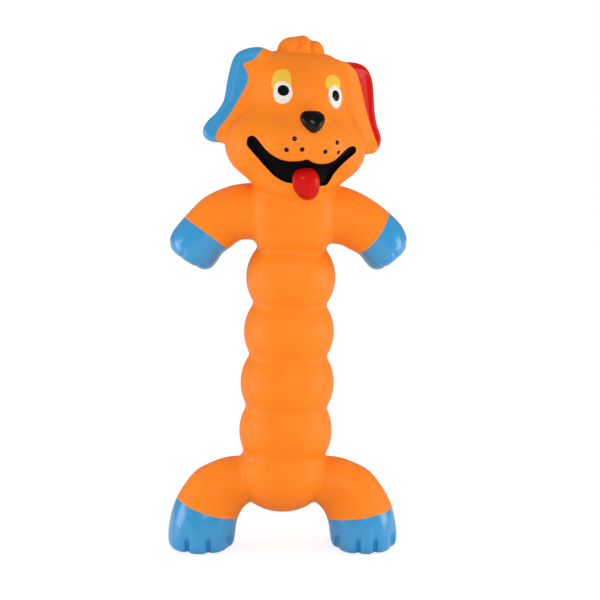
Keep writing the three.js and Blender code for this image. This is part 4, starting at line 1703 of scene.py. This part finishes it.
@dataclass
class HeadLatex:
    """The head's skin with its tuft, ears and the black inside of its mouth."""

    form: LatexForm
    cell: float = 0.65
    wall: float = 1.6
    ear_wall: float = 0.8
    bend_base: float = 181.0
    bend_tilt: float = 0.45
    bend_start: float = 1.0
    bend_end: float = 8.0

    def below_head(self, points: np.ndarray) -> np.ndarray:
        """Above 0 on the body's piece."""
        return self.form.past_neck(points)

    def in_mouth(self, points: np.ndarray) -> np.ndarray:
        """Above 0 inside the mouth.

        Args:
            points: Places, one a row.

        Returns:
            Distances from the mouth's edge.
        """
        local = self.form.head.local(points)
        inside = -outline_distance(local[:, [0, 2]], self.form.head.mouth)
        return np.minimum(inside, -local[:, 1])

    def on_tuft(self, points: np.ndarray) -> np.ndarray:
        """Above 0 where the tuft is nearer than the head."""
        local = self.form.head.local(points)
        return self.form.head.distance(local) - self.form.tuft.distance(local)

    def on_ear(self, points: np.ndarray, ear: EarForm) -> np.ndarray:
        """Above 0 where an ear is nearer than the head."""
        local = self.form.head.local(points)
        return self.form.head.distance(local) - self.form.ear(local, ear)

    def on_ear_paint(self, points: np.ndarray, ear: EarForm) -> np.ndarray:
        """Above 0 on an ear's painted part."""
        return ear.paint(self.form.head.local(points))

    def bounds(self) -> tuple[np.ndarray, np.ndarray]:
        """Box of the head's grid in the toy's frame.

        Returns:
            Its lowest and highest corner.
        """
        low, high = np.array(self.form.head_low), np.array(self.form.head_high)
        corners = np.array([[(low, high)[(n >> k) & 1][k] for k in range(3)] for n in range(8)])
        world = self.form.head.world(corners)
        low, high = world.min(axis=0), world.max(axis=0)
        low[2] = PIVOTS["head"][2] - 21.0
        return low, high

    def build(self) -> list[bpy.types.Object]:
        """Makes the head's pieces.

        Returns:
            The pieces.
        """
        low, high = self.bounds()
        skin = Skin.grown(self.form.whole, low, high, self.cell)
        skin.divide(self.below_head)
        skin = skin.part(~skin.over(self.below_head)).largest()
        pieces = []
        for ear in self.form.ears:
            level = partial(self.on_ear, ear=ear)
            skin.divide(level)
            flap = skin.part(skin.over(level)).largest()
            skin = skin.part(~skin.over(level)).largest()
            pieces += self.ear_pieces(flap, ear)
        skin.divide(self.on_tuft)
        tuft = skin.part(skin.over(self.on_tuft)).largest().shell("hair_tuft_latex", self.wall)
        skin = skin.part(~skin.over(self.on_tuft)).largest()
        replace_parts(ORANGE.dress(tuft), "hair_tuft")
        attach(tuft, "head")
        skin.divide(self.in_mouth)
        lining = skin.part(skin.over(self.in_mouth)).largest().shell("mouth_lining_paint", self.wall)
        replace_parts(MOUTH.dress(lining), "mouth_lining")
        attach(lining, "head")
        head = skin.part(~skin.over(self.in_mouth)).largest().shell("head_latex", self.wall)
        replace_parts(ORANGE.dress(head), "head_skin")
        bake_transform(head)
        return pieces + [tuft, lining, head]

    def ear_pieces(self, flap: Skin, ear: EarForm) -> list[bpy.types.Object]:
        """Makes an ear's painted part and the bare part of its front.

        Args:
            flap: The ear's skin.
            ear: Its form.

        Returns:
            Both pieces.
        """
        level = partial(self.on_ear_paint, ear=ear)
        flap.divide(level)
        painted = flap.over(level)
        word = ear.side.word
        start, end = (self.form.head.world(p[None])[0] * METRES for p in ear.bend_points())
        pieces = []
        for name, kept, finish in (
            (f"{word}_ear_paint", painted, BLUE if ear.side is Side.RIGHT else RED),
            (f"{word}_ear_front", ~painted, ORANGE),
        ):
            piece = finish.dress(flap.part(kept).shell(name, self.ear_wall))
            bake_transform(piece)
            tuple(start)
            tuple(end)
            pieces.append(piece)
        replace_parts(pieces[0], f"{word}_ear")
        return pieces


@dataclass(frozen=True)
class Patch:
    """A raised or flat piece of paint or latex on the front of the head."""

    name: str
    replaces: str
    finish: Finish
    outline: tuple[tuple[float, float], ...]
    lift: float
    dome: float
    sharpness: float = 2.0
    edge: float = 0.12
    rings: int = 14
    steps: int = 8
    sunk: float = 0.5


@dataclass(frozen=True)
class Eye:
    """Outlines of one eye from the front, in the head's frame."""

    side: Side
    white: tuple[tuple[float, float], ...]
    lid: tuple[tuple[float, float], ...]
    # centre x, z, half width, half height, lean
    pupil: tuple[float, float, float, float, float]
    corners: int = 12

    def pupil_outline(self) -> tuple[tuple[float, float], ...]:
        """The pupil, an oval that leans sideways.

        Returns:
            Its corners, x and z.
        """
        x, z, wide, high, lean = self.pupil
        places = []
        for i in range(self.corners):
            angle = 2 * math.pi * i / self.corners
            rise = high * math.sin(angle)
            places.append((x + wide * math.cos(angle) + lean * rise, z + rise))
        return tuple(places)


EYES = (
    Eye(
        side=Side.RIGHT,
        white=(
            (-12.4, 43.4), (-9.5, 42.2), (-8.3, 39.4), (-8.5, 36.6), (-9.9, 33.9), (-12.3, 32.8),
            (-14.8, 33.7), (-16.1, 36.6), (-16.0, 40.1), (-14.7, 42.6),
        ),
        lid=(
            (-16.8, 40.0), (-16.9, 44.0), (-15.5, 47.3), (-12.8, 48.7), (-10.3, 48.6), (-8.9, 47.0),
            (-8.7, 44.0), (-9.2, 40.4), (-12.6, 39.4),
        ),
        pupil=(-12.0, 39.0, 2.4, 2.45, 0.0),
    ),
    Eye(
        side=Side.LEFT,
        white=(
            (12.1, 43.2), (15.0, 42.1), (16.8, 38.9), (16.7, 35.2), (14.4, 32.5), (11.6, 33.4),
            (9.4, 36.8), (9.2, 40.6),
        ),
        lid=(
            (7.7, 42.0), (7.8, 45.4), (9.5, 47.4), (11.9, 48.0), (14.4, 47.2), (15.8, 45.2),
            (15.6, 42.2), (12.0, 40.2),
        ),
        pupil=(12.9, 38.3, 2.0, 2.5, -0.12),
    ),
)  # fmt: skip


@dataclass
class Face:
    """Eyes, lids, nose, tongue and whisker dots, laid on the front of the head."""

    form: LatexForm
    eyes: tuple[Eye, Eye] = EYES
    nose: tuple[tuple[float, float], ...] = (
        (-0.6, 29.8), (2.6, 29.6), (4.7, 28.0), (4.9, 25.6), (3.9, 23.2), (2.0, 21.4), (-0.2, 20.8),
        (-2.6, 22.2), (-4.8, 24.4), (-5.6, 27.0), (-4.0, 29.2),
    )  # fmt: skip
    tongue: tuple[tuple[float, float], ...] = (
        (-5.6, 1.4), (-2.2, 2.8), (2.6, 3.0), (5.6, 1.8), (6.9, -1.6), (7.1, -6.4), (6.0, -9.4),
        (2.8, -11.0), (-1.2, -9.9), (-5.0, -6.4), (-6.5, -1.8),
    )  # fmt: skip
    dots: tuple[tuple[float, float], ...] = (
        (-8.6, 17.7), (-11.8, 12.3), (-4.7, 13.0), (6.5, 12.6), (12.3, 17.1), (13.6, 12.5),
    )  # fmt: skip
    dot_radius: float = 1.12
    dot_rise: float = 0.3

    def onto_head(self, flat: np.ndarray) -> tuple[np.ndarray, np.ndarray]:
        """Drops points onto the front of the plain head.

        Args:
            flat: x and z in the head's frame.

        Returns:
            The places in the head's frame, and the normals there.
        """
        near = np.full(len(flat), -48.0)
        for _ in range(60):
            points = np.column_stack([flat[:, 0], near, flat[:, 1]])
            near = near + self.form.head.blob_distance(points) * 0.7
        points = np.column_stack([flat[:, 0], near, flat[:, 1]])
        slope = gradient(self.form.head.blob_distance, points)
        return points, slope / np.linalg.norm(slope, axis=1)[:, None]

    def make(self, patch: Patch) -> bpy.types.Object:
        """Makes one patch as a closed piece: a crowned top and a sunk underside.

        Args:
            patch: What is made.

        Returns:
            The piece.
        """
        edge = curve_through(np.array(patch.outline), patch.steps, closed=True)
        centre = edge.mean(axis=0)
        count = len(edge)
        shares = np.sin(np.linspace(0, math.pi / 2, patch.rings + 1))[1:]
        flat = np.vstack([centre[None]] + [centre + (edge - centre) * share for share in shares])
        share = np.concatenate([[0.0], np.repeat(shares, count)])
        places, normals = self.onto_head(flat)
        rise = patch.edge + patch.dome * (1 - share**patch.sharpness) ** (1 / patch.sharpness)
        top = places + normals * (patch.lift + rise)[:, None]
        under = places + normals * (patch.lift - patch.sunk)
        faces = [[0, 1 + (i + 1) % count, 1 + i] for i in range(count)]
        for ring in range(len(shares) - 1):
            a, b = 1 + ring * count, 1 + (ring + 1) * count
            for i in range(count):
                j = (i + 1) % count
                faces += [[a + i, a + j, b + j], [a + i, b + j, b + i]]
        faces = np.array(faces)
        last = 1 + (len(shares) - 1) * count
        offset = len(flat)
        wall = []
        for i in range(count):
            j = (i + 1) % count
            far_i, far_j = offset + last + i, offset + last + j
            wall += [[last + i, last + j, far_j], [last + i, far_j, far_i]]
        points = self.form.head.world(np.vstack([top, under]))
        thing = make_object(patch.name, points, np.vstack([faces, faces[:, ::-1] + offset, np.array(wall)]))
        face_out(thing)
        thing.data.set_sharp_from_angle(angle=math.radians(50))
        patch.finish.dress(thing)
        if patch.replaces:
            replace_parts(thing, patch.replaces)
        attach(thing, "head")
        return thing

    def build(self) -> list[bpy.types.Object]:
        """Makes the face's pieces.

        Returns:
            The pieces.
        """
        patches = []
        for eye in self.eyes:
            lid, white, pupil = (f"{eye.side.word}_{part}" for part in ("eyelid", "eye", "pupil"))
            patches.append(Patch(lid + "_paint", lid, YELLOW, eye.lid, 0.0, 0.12, 4.0))
            patches.append(Patch(white + "_paint", white, WHITE, eye.white, 0.12, 0.3, 3.0))
            outline = eye.pupil_outline()
            patches.append(Patch(pupil + "_paint", pupil, BLACK, outline, 0.42, 0.2, 3.0, steps=4))
        patches.append(Patch("nose_latex", "nose", BLACK, self.nose, 0.0, 4.1, 2.5))
        patches.append(Patch("tongue_latex", "tongue", RED, self.tongue, -0.6, 3.4, 2.3, sunk=1.2))
        return [self.make(patch) for patch in patches] + [self.whiskers()]

    def whiskers(self) -> bpy.types.Object:
        """Makes the whisker dots: one small dome set on each place by Geometry Nodes.

        Returns:
            The dots, as one piece.
        """
        places, normals = self.onto_head(np.array(self.dots))
        world = self.form.head.world(places) * METRES
        turned = normals @ self.form.head.turn.T
        mesh = bpy.data.meshes.new("whisker_dots")
        mesh.from_pydata(world.tolist(), [], [])
        facing = mesh.attributes.new("facing", "FLOAT_VECTOR", "POINT")
        facing.data.foreach_set("vector", turned.ravel())
        source = bpy.data.objects.new("whisker_dots", mesh)
        bpy.context.scene.collection.objects.link(source)
        sizes = {"Radius": self.dot_radius * METRES, "Rise": self.dot_rise * METRES}
        tree = GeometryTree("Whisker dots", sizes)
        dome = tree.add(
            "GeometryNodeMeshUVSphere", {}, {"Segments": 20, "Rings": 10, "Radius": tree.input("Radius")}
        )
        ratio = tree.input("Rise").math("DIVIDE", tree.input("Radius"))
        scale = tree.add("ShaderNodeCombineXYZ", {}, {"X": 1.0, "Y": 1.0, "Z": ratio})
        named = tree.add("GeometryNodeInputNamedAttribute", {"data_type": "FLOAT_VECTOR"}, {"Name": "facing"})
        turn = tree.add("FunctionNodeAlignRotationToVector", {"axis": "Z"}, {"Vector": named})
        spots = tree.add(
            "GeometryNodeInstanceOnPoints",
            {},
            {"Points": tree.geometry, "Instance": dome, "Rotation": turn, "Scale": scale},
        )
        made = tree.finish(source, spots, BLACK)
        made.data.polygons.foreach_set("use_smooth", np.ones(len(made.data.polygons), bool))
        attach(made, "head")
        return made


def face_out(thing: bpy.types.Object) -> None:
    """Turns a closed mesh's faces outwards.

    Args:
        thing: The object that has the mesh.
    """
    mesh = bmesh.new()
    mesh.from_mesh(thing.data)
    bmesh.ops.remove_doubles(mesh, verts=mesh.verts, dist=1e-7)
    bmesh.ops.recalc_face_normals(mesh, faces=mesh.faces)
    mesh.to_mesh(thing.data)
    mesh.free()
    thing.data.polygons.foreach_set("use_smooth", np.ones(len(thing.data.polygons), bool))


@dataclass
class GeometryTree:
    """A Geometry Nodes tree with named inputs that ends in a plain, dressed mesh."""

    name: str
    sizes: dict[str, float]

    def __post_init__(self) -> None:
        """Makes the tree with its geometry and its sizes as inputs."""
        self.tree = bpy.data.node_groups.new(self.name, "GeometryNodeTree")
        sockets = self.tree.interface
        sockets.new_socket("Geometry", in_out="OUTPUT", socket_type="NodeSocketGeometry")
        sockets.new_socket("Geometry", in_out="INPUT", socket_type="NodeSocketGeometry")
        self.identifiers = {}
        for name, value in self.sizes.items():
            socket = sockets.new_socket(name, in_out="INPUT", socket_type="NodeSocketFloat")
            socket.default_value = value
            self.identifiers[name] = socket.identifier
        self.inputs = self.tree.nodes.new("NodeGroupInput")
        self.geometry = Socket(self.tree, self.inputs.outputs["Geometry"])

    def input(self, name: str) -> Socket:
        """One of the tree's sizes."""
        return Socket(self.tree, self.inputs.outputs[name])

    def add(self, kind: str, settings: dict, inputs: dict, output: int | str = 0) -> Socket:
        """Adds a node to the tree."""
        return add_node(self.tree, kind, settings, inputs, output)

    def finish(self, source: bpy.types.Object, result: Socket, finish: Finish) -> bpy.types.Object:
        """Ends the tree, runs it and keeps its result as a plain mesh.

        Args:
            source: The object that the tree starts from.
            result: The geometry that it makes.
            finish: The material that it gets.

        Returns:
            The object, whose mesh is now the result.
        """
        real = self.add("GeometryNodeRealizeInstances", {}, {"Geometry": result})
        dressed = self.add("GeometryNodeSetMaterial", {}, {"Geometry": real, "Material": finish.material()})
        end = self.tree.nodes.new("NodeGroupOutput")
        self.tree.links.new(dressed.link, end.inputs[0])
        modifier = source.modifiers.new(self.name, "NODES")
        modifier.node_group = self.tree
        for name, value in self.sizes.items():
            modifier[self.identifiers[name]] = value
        evaluated = source.evaluated_get(bpy.context.evaluated_depsgraph_get())
        mesh = bpy.data.meshes.new_from_object(evaluated)
        source.modifiers.remove(modifier)
        source.data = mesh
        finish.dress(source)
        return source


@dataclass
class Squeaker:
    """The squeaker in the back of the chest: its grille, and the parts behind that."""

    radius: float = 8.6
    inset: float = 0.6
    gap: float = 0.35
    wall: float = 1.2
    flange: float = 1.4
    plug: float = 2.0
    crown: float = 0.35
    bevel: float = 0.45
    hole: float = 0.9
    ring: float = 3.9
    drill: float = 20.0
    holes: int = 6
    above: float = 3.0
    chest_radius: float = 20.5
    turns: int = 64

    def profile(self) -> list[tuple[float, float]]:
        """The cap's half section: radius, and distance out from the chest's axis.

        Returns:
            The section's points, from the inside out.
        """
        mouth = self.chest_radius - self.inset - self.gap
        base = mouth + self.gap
        top = base + self.flange
        inner = self.radius - self.wall - self.gap
        points = [(0.0, mouth - self.plug), (inner, mouth - self.plug), (inner, base), (self.radius, base)]
        for i in range(7):
            angle = math.pi / 2 * i / 6
            points.append(
                (
                    self.radius - self.bevel * (1 - math.cos(angle)),
                    top - self.bevel * (1 - math.sin(angle)),
                )
            )
        for i in range(1, 7):
            share = 1 - i / 6
            points.append(((self.radius - self.bevel) * share, top + self.crown * (1 - share**2)))
        return points

    def build(self) -> list[bpy.types.Object]:
        """Makes the grille, and dresses the parts behind it.

        Returns:
            The pieces.
        """
        rows = self.profile()
        points, faces = [], []
        for radius, out in rows:
            for i in range(self.turns):
                angle = 2 * math.pi * i / self.turns
                points.append((radius * math.cos(angle), out, radius * math.sin(angle)))
        for row in range(len(rows) - 1):
            for i in range(self.turns):
                j = (i + 1) % self.turns
                a, b = row * self.turns, (row + 1) * self.turns
                faces += [(a + i, a + j, b + j), (a + i, b + j, b + i)]
        centre = PIVOTS["chest"] + np.array([0, 0, self.above])
        cap = make_object("squeaker_grille", np.array(points) + centre, np.array(faces))
        tidy = bmesh.new()
        tidy.from_mesh(cap.data)
        bmesh.ops.remove_doubles(tidy, verts=tidy.verts, dist=1e-7)
        bmesh.ops.dissolve_degenerate(tidy, edges=tidy.edges, dist=1e-7)
        bmesh.ops.recalc_face_normals(tidy, faces=tidy.faces)
        tidy.to_mesh(cap.data)
        tidy.free()
        self.pierce(cap, centre)
        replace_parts(cap, "squeaker_cap")
        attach(cap, "chest")
        for node in ("squeaker_cup", "reed_seat", "reed_clamp"):
            PLASTIC.dress(frame["nodes"][node])
        FILM.dress(frame["nodes"]["reed"])
        return [cap]

    def pierce(self, cap: bpy.types.Object, centre: np.ndarray) -> None:
        """Cuts the ring of holes and the middle one with Geometry Nodes.

        Args:
            cap: The grille before its holes.
            centre: The middle of the squeaker's axis in the chest.
        """
        sizes = {"Hole radius": self.hole, "Ring radius": self.ring, "Depth": self.drill}
        tree = GeometryTree("Grille holes", {name: size * METRES for name, size in sizes.items()})
        ring = tree.add(
            "GeometryNodeMeshCircle", {}, {"Vertices": self.holes, "Radius": tree.input("Ring radius")}
        )
        middle = tree.add("GeometryNodeMeshLine", {}, {"Count": 1})
        both = tree.tree.nodes.new("GeometryNodeJoinGeometry")
        for places in (middle, ring):
            tree.tree.links.new(places.link, both.inputs[0])
        drill = tree.add(
            "GeometryNodeMeshCylinder",
            {"fill_type": "TRIANGLE_FAN"},
            {"Vertices": 24, "Radius": tree.input("Hole radius"), "Depth": tree.input("Depth")},
        )
        spots = Socket(tree.tree, both.outputs[0])
        drills = tree.add("GeometryNodeInstanceOnPoints", {}, {"Points": spots, "Instance": drill})
        real = tree.add("GeometryNodeRealizeInstances", {}, {"Geometry": drills})
        stood = tree.add(
            "GeometryNodeTransform",
            {},
            {
                "Geometry": real,
                "Rotation": (math.pi / 2, 0.0, 0.0),
                "Translation": tuple((centre + np.array([0, self.chest_radius, 0])) * METRES),
            },
        )
        cut = tree.add(
            "GeometryNodeMeshBoolean",
            {"operation": "DIFFERENCE", "solver": "EXACT"},
            {"Mesh 1": tree.geometry, "Mesh 2": stood},
        )
        tree.finish(cap, cut, PLASTIC)
        cap.data.polygons.foreach_set("use_smooth", np.ones(len(cap.data.polygons), bool))
        cap.data.set_sharp_from_angle(angle=math.radians(35))


@dataclass
class Filling:
    """Wads of loose fibre inside the skin."""

    form: LatexForm
    voxel: float = 1.2
    tuck: float = 0.9
    inside: float = 2.4
    ripples: tuple[tuple[float, float, float], ...] = (
        (0.9, 0.4, 0.3),
        (-0.5, 0.8, 0.6),
        (0.3, -0.7, 1.0),
        (1.1, 0.2, -0.8),
    )
    bodies: tuple[str, ...] = ("hips", "lobe_1", "lobe_2", "lobe_3", "lobe_4", "chest", "head")

    def build(self) -> list[bpy.types.Object]:
        """Makes each wad from its solid, with an uneven surface.

        Returns:
            The wads.
        """
        return [self.wad(body) for body in self.bodies]

    def below_skin(self, points: np.ndarray) -> np.ndarray:
        """Above 0 where a point is too near the moulding's surface, or out of it."""
        return self.form.whole(points) + self.inside

    def wad(self, body: str) -> bpy.types.Object:
        """One wad.

        Args:
            body: The body that it fills.

        Returns:
            The wad.
        """
        node = frame["nodes"][f"{body}_filling"]
        thing = bpy.data.objects.new(f"{body}_wad", node.data.copy())
        bpy.context.scene.collection.objects.link(thing)
        face_out(thing)
        remesh = thing.modifiers.new("Remesh", "REMESH")
        remesh.mode = "VOXEL"
        remesh.voxel_size = self.voxel * METRES
        evaluated = thing.evaluated_get(bpy.context.evaluated_depsgraph_get())
        mesh = bpy.data.meshes.new_from_object(evaluated)
        thing.modifiers.remove(remesh)
        thing.data = mesh
        count = len(mesh.vertices)
        points, normals = np.empty(count * 3), np.empty(count * 3)
        mesh.vertices.foreach_get("co", points)
        mesh.vertex_normals.foreach_get("vector", normals)
        points, normals = points.reshape(-1, 3), normals.reshape(-1, 3)
        waves = sum(np.sin(points @ np.array(w) / METRES + k) for k, w in enumerate(self.ripples))
        points = (points - normals * ((0.5 + waves / 8) * self.tuck * METRES)[:, None]) / METRES
        out = self.below_skin(points) > 0
        points[out] = to_surface(self.below_skin, points[out], 3, self.inside)
        points = points * METRES
        mesh.vertices.foreach_set("co", points.ravel())
        mesh.polygons.foreach_set("use_smooth", np.ones(len(mesh.polygons), bool))
        mesh.update()
        FIBRE.dress(thing)
        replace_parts(thing, f"{body}_filling")
        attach(thing, body)
        return thing


@dataclass
class Studio:
    """A pale floor, soft light from all round, and the photograph's camera."""

    camera_place: tuple[float, float, float] = (5.84, -821.4, 250.0)
    pitch: float = 8.7
    lens: float = 102.7
    floor_half: float = 4000.0
    floor_below: float = 0.05
    sky: float = 0.68
    reflected: float = 0.22
    floor_glow: float = 1.28
    front_power: float = 1.7
    side_power: float = 1.1
    front_size: float = 220.0
    side_size: float = 320.0
    side_gloss: float = 0.12

    def build(self) -> None:
        """Makes the floor, the lamps, the world and the camera."""
        scene = bpy.context.scene
        scene.view_settings.view_transform = "Standard"
        around = ((-1, -1), (1, -1), (1, 1), (-1, 1))
        corners = [(x * self.floor_half, y * self.floor_half, -self.floor_below) for x, y in around]
        floor = make_object("floor", np.array(corners), np.array([[0, 1, 2, 3]]))
        floor.data.materials.append(self.floor_material())
        self.world()
        self.lamp("front lamp", (150.0, -820.0, 520.0), self.front_size, self.front_power, 1.0)
        self.lamp("right lamp", (-620.0, -80.0, 140.0), self.side_size, self.side_power, self.side_gloss)
        self.lamp("left lamp", (620.0, -80.0, 140.0), self.side_size, self.side_power, self.side_gloss)
        camera = bpy.data.cameras.new("camera")
        camera.lens = self.lens
        camera.sensor_width = 36.0
        camera.clip_end = 100.0
        holder = bpy.data.objects.new("camera", camera)
        holder.location = Vector(self.camera_place) * METRES
        holder.rotation_euler = (math.radians(90 - self.pitch), 0, 0)
        scene.collection.objects.link(holder)
        scene.camera = holder

    def lamp(
        self, name: str, place: tuple[float, float, float], size: float, power: float, gloss: float
    ) -> None:
        """A square soft lamp that faces the toy.

        Args:
            name: Its name.
            place: Where it hangs.
            size: Length of its side.
            power: Its power in watts.
            gloss: How much it shows in a gloss.
        """
        data = bpy.data.lights.new(name, "AREA")
        data.size = size * METRES
        data.energy = power
        data.specular_factor = gloss
        lamp = bpy.data.objects.new(name, data)
        lamp.location = Vector(place) * METRES
        towards = Vector((0, 0, 120)) * METRES - lamp.location
        lamp.rotation_euler = towards.to_track_quat("-Z", "Y").to_euler()
        bpy.context.scene.collection.objects.link(lamp)

    def rays(self, tree: bpy.types.NodeTree) -> tuple[Socket, Socket]:
        """1 for rays that the camera sees straight or through glass, and 1 for those off a gloss.

        Args:
            tree: The node tree that asks.

        Returns:
            Both masks.
        """
        path = tree.nodes.new("ShaderNodeLightPath")
        camera = Socket(tree, path.outputs["Is Camera Ray"])
        passing = Socket(tree, path.outputs["Is Transmission Ray"])
        return camera.math("MAXIMUM", passing), Socket(tree, path.outputs["Is Glossy Ray"])

    def floor_material(self) -> bpy.types.Material:
        """A white floor that keeps the toy's shadow.

        Returns:
            The material.
        """
        material = bpy.data.materials.new("floor white")
        material.use_nodes = True
        tree = material.node_tree
        tree.nodes.clear()
        plain = add_node(tree, "ShaderNodeBsdfDiffuse", {}, {"Color": (0.92, 0.92, 0.92, 1)})
        glow = {"Color": (1, 1, 1, 1), "Strength": self.floor_glow}
        bright = add_node(tree, "ShaderNodeEmission", {}, glow)
        share = self.rays(tree)[0] * 0.6
        mixed = add_node(tree, "ShaderNodeMixShader", {}, {0: share, 1: plain, 2: bright})
        add_node(tree, "ShaderNodeOutputMaterial", {}, {"Surface": mixed})
        return material

    def world(self) -> None:
        """White to the camera, a plain even light on the toy, and a dimmer one in its gloss."""
        world = bpy.data.worlds.new("studio")
        world.use_nodes = True
        tree = world.node_tree
        tree.nodes.clear()
        seen, glossy = self.rays(tree)
        around = glossy * (self.reflected - self.sky) + self.sky
        strength = around + seen * (1 - around)
        light = add_node(tree, "ShaderNodeBackground", {}, {"Color": (1, 1, 1, 1), "Strength": strength})
        add_node(tree, "ShaderNodeOutputWorld", {}, {"Surface": light})
        bpy.context.scene.world = world


def main() -> None:
    """Builds the toy's pieces in order, and the studio."""
    logging.basicConfig(level=logging.INFO, format="%(name)s: %(message)s")
    form = LatexForm()
    for builder in (BodyLatex(form), HeadLatex(form), Face(form), Squeaker(), Filling(form)):
        for piece in builder.build():
            log.info("%s: %d faces", piece.name, len(piece.data.polygons))
    Studio().build()


if __name__ == "__main__":
    main()
